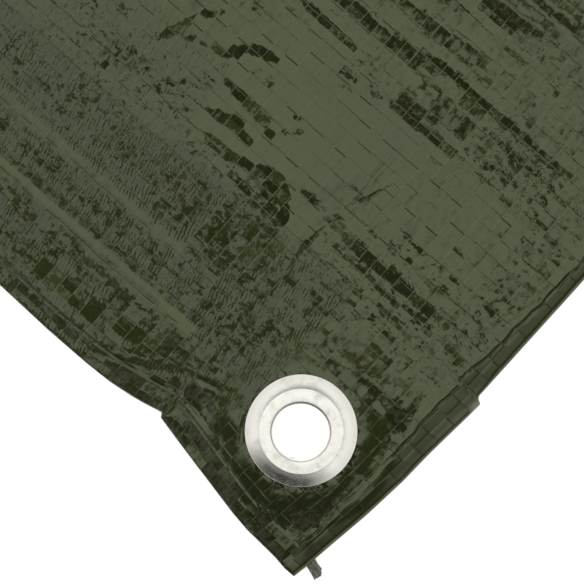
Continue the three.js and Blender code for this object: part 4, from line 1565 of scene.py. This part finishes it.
        # Each tape takes a fold in its own way, so the folds' edges are ragged.
        ragged_x = x + 0.35 * Grain(61).at(x / 5.0, y / 3.1) + 0.15 * Grain(62).at(x / 2.0, y / 1.6)
        ragged_y = y + 0.35 * Grain(63).at(x / 3.7, y / 5.0)
        for ridge in CORNER_RIDGES:
            lift += ridge.height(ragged_x, ragged_y)
        lift *= clear
        away = self.near_eyelets(x, y)
        hardware = self.hardware_lift * (1 - smooth(self.lift_near - 1, self.lift_far + 4, away))
        return np.maximum(hardware, lift + 0.6 * hardware)

    def uneven(self, x: Array, y: Array, edge: Array, clear: Array) -> Array:
        """Return the height of the small folds that only the upper layer has.

        Args:
            x: the points' x as they lie.
            y: their y.
            edge: how far inside the nearest edge each point lies.
            clear: 0 beside an eyelet, where no fold can be, and 1 elsewhere.

        Returns:
            One height in mm for each point.
        """
        fine = self.puckers(x, y)
        loose = smooth(*self.VIEW_FADE, np.maximum(x, y)) * (0.4 + 0.6 * smooth(HEM - 4, HEM + 10, edge))
        broad = 0.55 + 0.7 * Grain(41).at(x / 17, y / 46)
        fine += loose * (broad + 0.35 * Grain(42).at((x + 0.2 * y) / 10, y / 23))
        for patch in CRUMPLES:
            fine += patch.height(x, y) * smooth(0.5, 3.0, edge) * clear
        return fine

    def surface(self, cut: Array) -> Array:
        """Lay the cut cloth out as it lies.

        Args:
            cut: x and y of each point on the cut cloth, from -46 to 946 mm.

        Returns:
            x, y and height of each point, in mm.
        """
        s, t = cut.T
        px, under_x = self.turned(np.minimum(s, SPAN - s))
        py, under_y = self.turned(np.minimum(t, SPAN - t))
        x, y = self.outlined(np.where(s < SPAN / 2, px, SPAN - px), np.where(t < SPAN / 2, py, SPAN - py))
        edge = np.minimum(px, py)
        clear = smooth(self.lift_near, self.lift_near + 1.6, self.near_eyelets(x, y))

        in_x = 1 - smooth(HEM - 9.0, HEM + 2.0, px)
        in_y = 1 - smooth(HEM - 9.0, HEM + 2.0, py)
        top = self.field_level + (self.hem_level - self.field_level) * np.maximum(in_x, in_y)
        top += (self.corner_level - self.hem_level) * np.minimum(in_x, in_y)
        seal = self.seals(cut)
        up_rope, down_rope = 1 + seal / self.rope_width, 1 - seal / self.rope_fall
        over_rope = np.minimum(np.clip(up_rope, 0, 1), np.clip(down_rope, 0, 1))
        # The rope lies deeper in the side hems.
        rise = self.side_rise + (1 - self.side_rise) * smooth(-2.5, 2.5, px - py)
        top += self.rope_rise * rise * over_rope * clear
        top += self.uneven(x, y, edge, clear)

        side_flap = self.layer + self.side_layer * in_y
        beneath = 0.12 + side_flap * (1 - smooth(HEM, HEM + 3, edge))
        over_x, over_y = 1 - under_x, 1 - under_y
        z = over_x * over_y * np.maximum(top, beneath) + under_x * over_y * side_flap
        z += over_x * under_y * self.layer + under_x * under_y * (self.layer + self.second_layer)
        return np.column_stack([x, y, z + self.folds(x, y, clear)])

    def punch(self, points: Array) -> None:
        """Remove the cloth inside each eyelet's hole and draw the rim to a clean circle.

        Args:
            points: x, y and height of each point, which are changed in place.
        """
        away = self.near_eyelets(points[:, 0], points[:, 1])
        inside = away < self.hole_radius
        self.faces = [face for face in self.faces if not all(inside[i] for i in face)]
        kept = np.unique(np.concatenate([np.array(face) for face in self.faces]))
        for cx, cy in CENTRES.values():
            for i in kept[inside[kept]]:
                dx, dy = points[i, 0] - cx, points[i, 1] - cy
                distance = math.hypot(dx, dy)
                if distance < self.hole_radius:
                    points[i, 0] = cx + dx * self.hole_radius / distance
                    points[i, 1] = cy + dy * self.hole_radius / distance

    def tipping(self, cut: Array, placed: Array) -> Array:
        """Return the share of the film that tips at each point, partly alike over each half of a tape.

        Args:
            cut: x and y of each point on the cut cloth.
            placed: x and y of each point as it lies.

        Returns:
            One share for each point. A share below zero stands for smooth film.
        """
        snap, pull = 0.4, 0.85
        columns, rows = self.tapes(cut).T
        x = placed[:, 0] + snap * (0.25 - (2 * columns) % 1 / 2) * self.finish.tape_x
        y = placed[:, 1] + snap * (0.5 - rows % 1) * self.finish.tape_y
        share = np.full_like(x, self.bare_share)
        for low_x, low_y, far_x, far_y, amount in SHADES:
            share += (amount - share) * rectangle((low_x, low_y), (far_x, far_y), self.shade_edge, x, y)
        for streak in STREAKS:
            share += (streak.amount - share) * streak.inside(x, y)
        # Around an eyelet the cloth slopes as a whole, so its tapes tip less.
        away = self.near_eyelets(*placed.T)
        pulled = smooth(self.lift_near - 2, self.lift_near + 1, away) * (1 - smooth(15.0, 19.0, away))
        share -= pull * pulled * np.maximum(share, 0)
        share = np.maximum(share, LEE.amount * LEE.inside(x, y))
        # The cloth is drawn smooth over the rope in the front hem.
        smooth_band = 1 - smooth(*self.SMOOTH_FADE, cut[:, 1] - self.front_seal(cut[:, 0]))
        return share - (share - self.drawn_smooth) * smooth_band

    def amounts(self, cut: Array, placed: Array) -> tuple[Array, Array]:
        """Return how strong each kind of fine wrinkle is at each point, and the broad crumple.

        Args:
            cut: x and y of each point on the cut cloth.
            placed: x and y of each point as it lies.

        Returns:
            A column for each kind of wrinkle, in the order of its Enum, and one array for the crumple.
        """
        x, y = np.clip(cut.T, 0, SPAN)
        wild = smooth(*self.VIEW_FADE, np.maximum(x, y))
        near = np.zeros((len(x), len(Wrinkle)))
        near[:, Wrinkle.BLOT.value] = self.bare_share
        for patch in PATCHES:
            column = near[:, patch.kind.value]
            column += (patch.amount - column) * patch.inside(*placed.T)
        for low_x, low_y, far_x, far_y, missing, edge in CALM:
            near *= (1 - missing * rectangle((low_x, low_y), (far_x, far_y), edge, *placed.T))[:, None]
        near[:, Wrinkle.FACET.value] = self.tipping(cut, placed)

        # Beyond the photograph each kind comes and goes in broad patches of its own.
        grain = Grain(31)
        patchy = [0.5 + 0.5 * grain.at(x / 38 + shift, y / 55 + shift) for shift in (0, 40, 90, 140)]
        in_side = 1 - smooth(HEM - 3, HEM + 1, np.minimum(x, SPAN - x))
        in_end = 1 - smooth(HEM - 3, HEM + 1, np.minimum(y, SPAN - y))
        blot = np.maximum(0.1 + 0.25 * patchy[0], 0.4 * in_end * (1 - in_side))
        dash = np.maximum(0.9 * in_side * (1 - in_end), 0.2 + 0.5 * patchy[1])
        hatch = 2 * smooth(0.3, 0.7, patchy[2]) - 1
        far = np.column_stack([blot, dash, hatch, 0.15 + 0.4 * patchy[3]])
        return near * (1 - wild)[:, None] + far * wild[:, None], wild * (0.6 + 0.4 * patchy[0])

    def cut_ends(self, x: Array, y: Array) -> Array:
        """Return where the bare ends of tapes show, on the front hem's edge where the corner's flap ends."""
        return 0.7 * smooth(43.0, 44.2, x) * (1 - smooth(HEM + 0.2, HEM + 0.8, x)) * (1 - smooth(0.9, 1.4, y))

    def build(self) -> bpy.types.Object:
        """Returns:
            The new object.
        """
        self.lay_out()
        cut = np.array(self.places)
        points = self.surface(cut)
        self.punch(points)
        piece = new_piece("tarp_cloth", points, self.faces, self.finish.material())
        wrinkles, crumple = self.amounts(cut, points[:, :2])
        weave = np.column_stack([self.tapes(cut), np.zeros(len(cut))])
        tone = np.column_stack([wrinkles[:, Wrinkle.FACET.value], crumple, self.cut_ends(*points[:, :2].T)])
        weld = self.pinched(cut, points[:, :2])
        for name, kind, channel, values in (
            ("weave", "FLOAT_VECTOR", "vector", weave),
            ("wrinkles", "FLOAT_VECTOR", "vector", wrinkles[:, :3]),
            ("tone", "FLOAT_VECTOR", "vector", tone),
            ("weld", "FLOAT", "value", weld),
        ):
            layer = piece.data.attributes.new(name, kind, "POINT")
            layer.data.foreach_set(channel, np.ascontiguousarray(values, dtype=np.float32).ravel())
        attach(piece, "root")
        corners = [f"corner_{corner.value}" for corner in Corner]
        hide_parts("tarp_sheet", "hem_front", "hem_back", *corners)
        LOG.info("tarp_cloth: %d points, %d faces", len(points), len(self.faces))
        return piece


@dataclass
class Eyelet:
    """A pressed eyelet: a domed flange over the cloth, a barrel through it, and a foot rolled out below."""

    corner: Corner
    material: bpy.types.Material
    steps: int = 112
    rounding: int = 3
    wobble: float = 0.03
    out_of_round: float = 0.04

    # Radius and height of the turned section in mm, from the hole's foot round the outside.
    SECTION = (
        (5.5, 0.55), (5.65, 0.15), (6.2, 0.0), (7.4, 0.0), (8.1, 0.1), (8.2, 0.45), (7.6, 0.5),
        (6.4, 0.6), (6.25, 1.2), (6.25, 2.6), (6.5, 3.1), (7.6, 3.3), (9.4, 3.15), (10.4, 2.95),
        (10.8, 2.92), (11.03, 3.02), (11.08, 3.14), (11.0, 3.26), (10.8, 3.41), (10.4, 3.71), (10.0, 3.99),
        (9.6, 4.24), (9.2, 4.46), (8.8, 4.65), (8.48, 4.79), (8.38, 4.83), (8.3, 4.845), (7.6, 4.85),
        (6.9, 4.86), (6.3, 4.85), (5.95, 4.82), (5.7, 4.74), (5.57, 4.6), (5.51, 4.35), (5.5, 3.9),
        (5.5, 1.6),
    )

    # How far the hole sits off the flange's middle, in mm, and the radii between which that fades.
    OFF_CENTRE = (-0.2, -0.05)
    HOLE_RADII = (6.0, 9.0)

    # Where the flange's rim begins and is full, by radius and by height.
    RIM_RADII = (7.5, 11.0)
    RIM_HEIGHTS = (1.0, 3.0)

    def build(self) -> bpy.types.Object:
        """Returns:
            The new object.
        """
        line = curve(self.SECTION, self.rounding, closed=True)
        count = len(line)
        cx, cy = CENTRES[self.corner]
        seed = list(Corner).index(self.corner)
        points = []
        for turn in np.arange(self.steps) * 2 * math.pi / self.steps:
            lift = self.wobble * (math.sin(2 * turn + seed) + 0.6 * math.sin(5 * turn + 2 * seed))
            for radius, height in line:
                rim = smooth(*self.RIM_RADII, radius) * smooth(*self.RIM_HEIGHTS, height)
                inner = 1 - smooth(*self.HOLE_RADII, radius)
                wide = radius + self.out_of_round * rim * math.sin(3 * turn + seed)
                x = cx + wide * math.cos(turn) + self.OFF_CENTRE[0] * inner
                y = cy + wide * math.sin(turn) + self.OFF_CENTRE[1] * inner
                points.append((x, y, height + lift * rim))
        faces = []
        for step in range(self.steps):
            near, far = step * count, (step + 1) % self.steps * count
            for i in range(count):
                j = (i + 1) % count
                faces.append((near + i, far + i, far + j, near + j))
        name = f"eyelet_{self.corner.value}"
        piece = new_piece(f"{name}_pressed", np.array(points), faces, self.material)
        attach(piece, "root")
        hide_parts(name)
        LOG.info("%s: %d faces", piece.name, len(faces))
        return piece


@dataclass
class RopeEnd:
    """The cut end of the hem rope: one flat strand, folded lengthwise in soft pleats, with a ragged cut."""

    material: bpy.types.Material
    root: Point = (0.42, 5.6)
    lean: float = 0.293
    long: float = 4.3
    wide: float = 2.45
    thick: float = 0.14
    level: float = 0.38
    rise: float = 0.12
    pleat: float = 0.16
    fine_pleat: float = 0.07
    waist: float = 0.1
    slant: float = 0.75
    columns: int = 22
    rows: int = 14
    seed: int = 5

    # How far single fibres end short of the cut and beyond it, in mm.
    RAGGED = (-0.22, 0.12)

    def place(self, across: float, along: float, height: float) -> tuple[float, float, float]:
        """Return where a point of the strand lies, from its place across and along it.

        Args:
            across: how far right of the strand's middle.
            along: how far from its root.
            height: how far above the floor.

        Returns:
            x, y and height, in mm.
        """
        turn = self.lean
        x = self.root[0] + across * math.cos(turn) - along * math.sin(turn)
        y = self.root[1] - across * math.sin(turn) - along * math.cos(turn)
        return (x, y, height)

    def build(self) -> bpy.types.Object:
        """Returns:
            The new object.
        """
        ragged = np.random.default_rng(self.seed).uniform(*self.RAGGED, self.columns + 1)
        points = []
        for side in (0, 1):
            for column in range(self.columns + 1):
                share = column / self.columns
                cut = self.long + ragged[column] - self.slant * smooth(0.72, 1.0, share)
                cut += 0.2 * math.sin(5 * share)
                for row in range(self.rows + 1):
                    down = row / self.rows
                    along = cut * down
                    across = (share - 0.5) * self.wide * (1.0 - self.waist * math.sin(math.pi * down))
                    pleat = self.pleat * math.sin(9.5 * share + 1.2 * down + 0.5)
                    pleat += self.fine_pleat * math.sin(23 * share)
                    height = self.level + pleat * (0.5 + 0.5 * down) + self.rise * down
                    height += (side - 1) * self.thick
                    points.append(self.place(across, along, height))
        line = self.rows + 1
        sheet = (self.columns + 1) * line
        faces = []
        for column in range(self.columns):
            for row in range(self.rows):
                a = column * line + row
                faces.append((sheet + a, sheet + a + 1, sheet + a + line + 1, sheet + a + line))
                faces.append((a, a + line, a + line + 1, a + 1))
        last = self.columns * line
        rim = [*range(line), *(c * line + self.rows for c in range(1, self.columns + 1)),
               *(last + r for r in reversed(range(self.rows))),
               *(c * line for c in reversed(range(1, self.columns)))]
        for a, b in zip(rim, rim[1:] + rim[:1]):
            faces.append((a, b, sheet + b, sheet + a))
        piece = new_piece("hem_rope_strand", np.array(points), faces, self.material)
        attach(piece, "root")
        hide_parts("hem_rope_end")
        LOG.info("%s: %d faces", piece.name, len(faces))
        return piece


class Studio:
    """The camera straight above the photographed corner, soft lights and a white table."""

    FLOOR = "studio_floor"
    VIEW_WIDE = 115.2
    SURFACE = 1.6
    LENS = 100.0
    SENSOR = 36.0
    FLOOR_RADIUS = 30.0
    FLOOR_SIDES = 64
    FLOOR_DROP = 0.02
    BACKDROP = 0.92

    # The softbox overhead: its angles in degrees, how bright it is, and what its middle adds toward its axis.
    SOFTBOX_TOWARD = 45.0
    SOFTBOX_FROM_ZENITH = 6.0
    SOFTBOX_EDGE = 31.0
    SOFTBOX_CORE = 13.0
    SOFTBOX_LIGHT = 1.05
    SOFTBOX_MIDDLE = (0.05, 0.16)

    # The lit walls, by how far up a direction points: where they end, how they dim lower down, and
    # how bright they are.
    WALL_TOP = (0.78, 0.68)
    WALL_DIM = (0.45, 0.15, 1.0, 0.8)
    WALL_LIGHT = 0.95

    # The dark gap in the walls: where it faces, how it begins sideways, and how it closes upward.
    GAP_TOWARD = (-0.92, -0.39, 0.0)
    GAP_WIDE = (0.57, 0.94)
    GAP_UP = (0.74, 0.45, 0.55, 1.0)

    def camera(self) -> None:
        """Place the camera at the photograph's angle and distance."""
        lens = bpy.data.cameras.new("camera")
        lens.lens = self.LENS
        lens.sensor_width = self.SENSOR
        lens.clip_start = 0.01
        camera = bpy.data.objects.new("camera", lens)
        distance = self.VIEW_WIDE * self.LENS / self.SENSOR + self.SURFACE
        x, y = VIEW_CENTRE
        camera.location = ORIGIN + Vector((x, y, distance)) * MM
        camera.rotation_euler = Euler((0, 0, math.radians(VIEW_TURN)))
        bpy.context.scene.collection.objects.link(camera)
        bpy.context.scene.camera = camera

    def floor(self) -> None:
        """Lay the floor: a wide disc under the tarp."""
        count = self.FLOOR_SIDES
        turns = np.arange(count) * 2 * math.pi / count
        middle = np.array([SPAN / 2, SPAN / 2, -self.FLOOR_DROP])
        ring = np.column_stack([np.cos(turns), np.sin(turns), np.zeros(count)]) * self.FLOOR_RADIUS / MM
        floor = new_piece(self.FLOOR, ring + middle, [list(range(count))], StudioFloor().material())

    def surroundings(self) -> None:
        """Set the pale backdrop that the camera sees and the dim room that the tarp mirrors."""
        scene = bpy.context.scene
        scene.view_settings.view_transform = "Standard"
        scene.world = bpy.data.worlds.new("studio")
        scene.world.use_nodes = True
        tree = scene.world.node_tree
        tree.nodes.clear()
        direction = add_node(tree, "TexCoord").outputs["Generated"]
        toward, lean = math.radians(self.SOFTBOX_TOWARD), math.radians(self.SOFTBOX_FROM_ZENITH)
        axis = (math.sin(lean) * math.cos(toward), math.sin(lean) * math.sin(toward), math.cos(lean))
        facing_box = add_node(tree, "VectorMath", direction, axis, operation="DOT_PRODUCT")
        edge, core = (math.cos(math.radians(angle)) for angle in (self.SOFTBOX_EDGE, self.SOFTBOX_CORE))
        box = add_node(tree, "MapRange", facing_box.outputs["Value"], edge, core, 0.0, self.SOFTBOX_LIGHT,
                       interpolation_type="SMOOTHSTEP")
        middle = add_node(tree, "MapRange", facing_box.outputs["Value"], core, 1.0, *self.SOFTBOX_MIDDLE)
        softbox = add_node(tree, "Math", box, middle, operation="ADD")
        parts = add_node(tree, "SeparateXYZ", direction)
        low = add_node(tree, "MapRange", parts.outputs["Z"], *self.WALL_TOP, interpolation_type="SMOOTHSTEP")
        dimmer = add_node(tree, "MapRange", parts.outputs["Z"], *self.WALL_DIM)
        level = add_node(tree, "VectorMath", direction, (1, 1, 0), operation="MULTIPLY")
        compass = add_node(tree, "VectorMath", level, operation="NORMALIZE")
        facing = add_node(tree, "VectorMath", compass, self.GAP_TOWARD, operation="DOT_PRODUCT")
        open_side = add_node(tree, "MapRange", facing.outputs["Value"], *self.GAP_WIDE)
        fading = add_node(tree, "MapRange", parts.outputs["Z"], *self.GAP_UP)
        blocked = add_node(tree, "Math", open_side, fading, operation="MULTIPLY")
        left = add_node(tree, "Math", 1.0, blocked, operation="SUBTRACT")
        panels = add_node(tree, "Math", low, dimmer, operation="MULTIPLY")
        lit = add_node(tree, "Math", panels, left, operation="MULTIPLY")
        mirrored = add_node(tree, "Math", lit, self.WALL_LIGHT, softbox, operation="MULTIPLY_ADD")
        path = add_node(tree, "LightPath")
        strength = add_node(tree, "Mix", path.outputs["Is Camera Ray"], mirrored, self.BACKDROP)
        add_node(tree, "OutputWorld", add_node(tree, "Background", (1.0, 1.0, 1.0, 1.0), strength))

    def build(self) -> None:
        """Set up the whole studio."""
        self.camera()
        self.floor()
        self.surroundings()


def dress_washers(material: bpy.types.Material) -> None:
    """Give each washer's solid its metal. Their form is already right."""
    for corner in Corner:
        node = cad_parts[f"washer_{corner.value}"]
        node.data.materials.clear()
        node.data.materials.append(material)
        LOG.info("%s: dressed", node.name)


def main() -> None:
    """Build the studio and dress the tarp."""
    logging.basicConfig(level=logging.INFO, format="%(message)s")
    Studio().build()
    TarpCloth().build()
    aluminium = SatinAluminium().material()
    for corner in Corner:
        Eyelet(corner, aluminium).build()
    dress_washers(aluminium)
    RopeEnd(SplitStrand().material()).build()


if __name__ == "__main__":
    main()
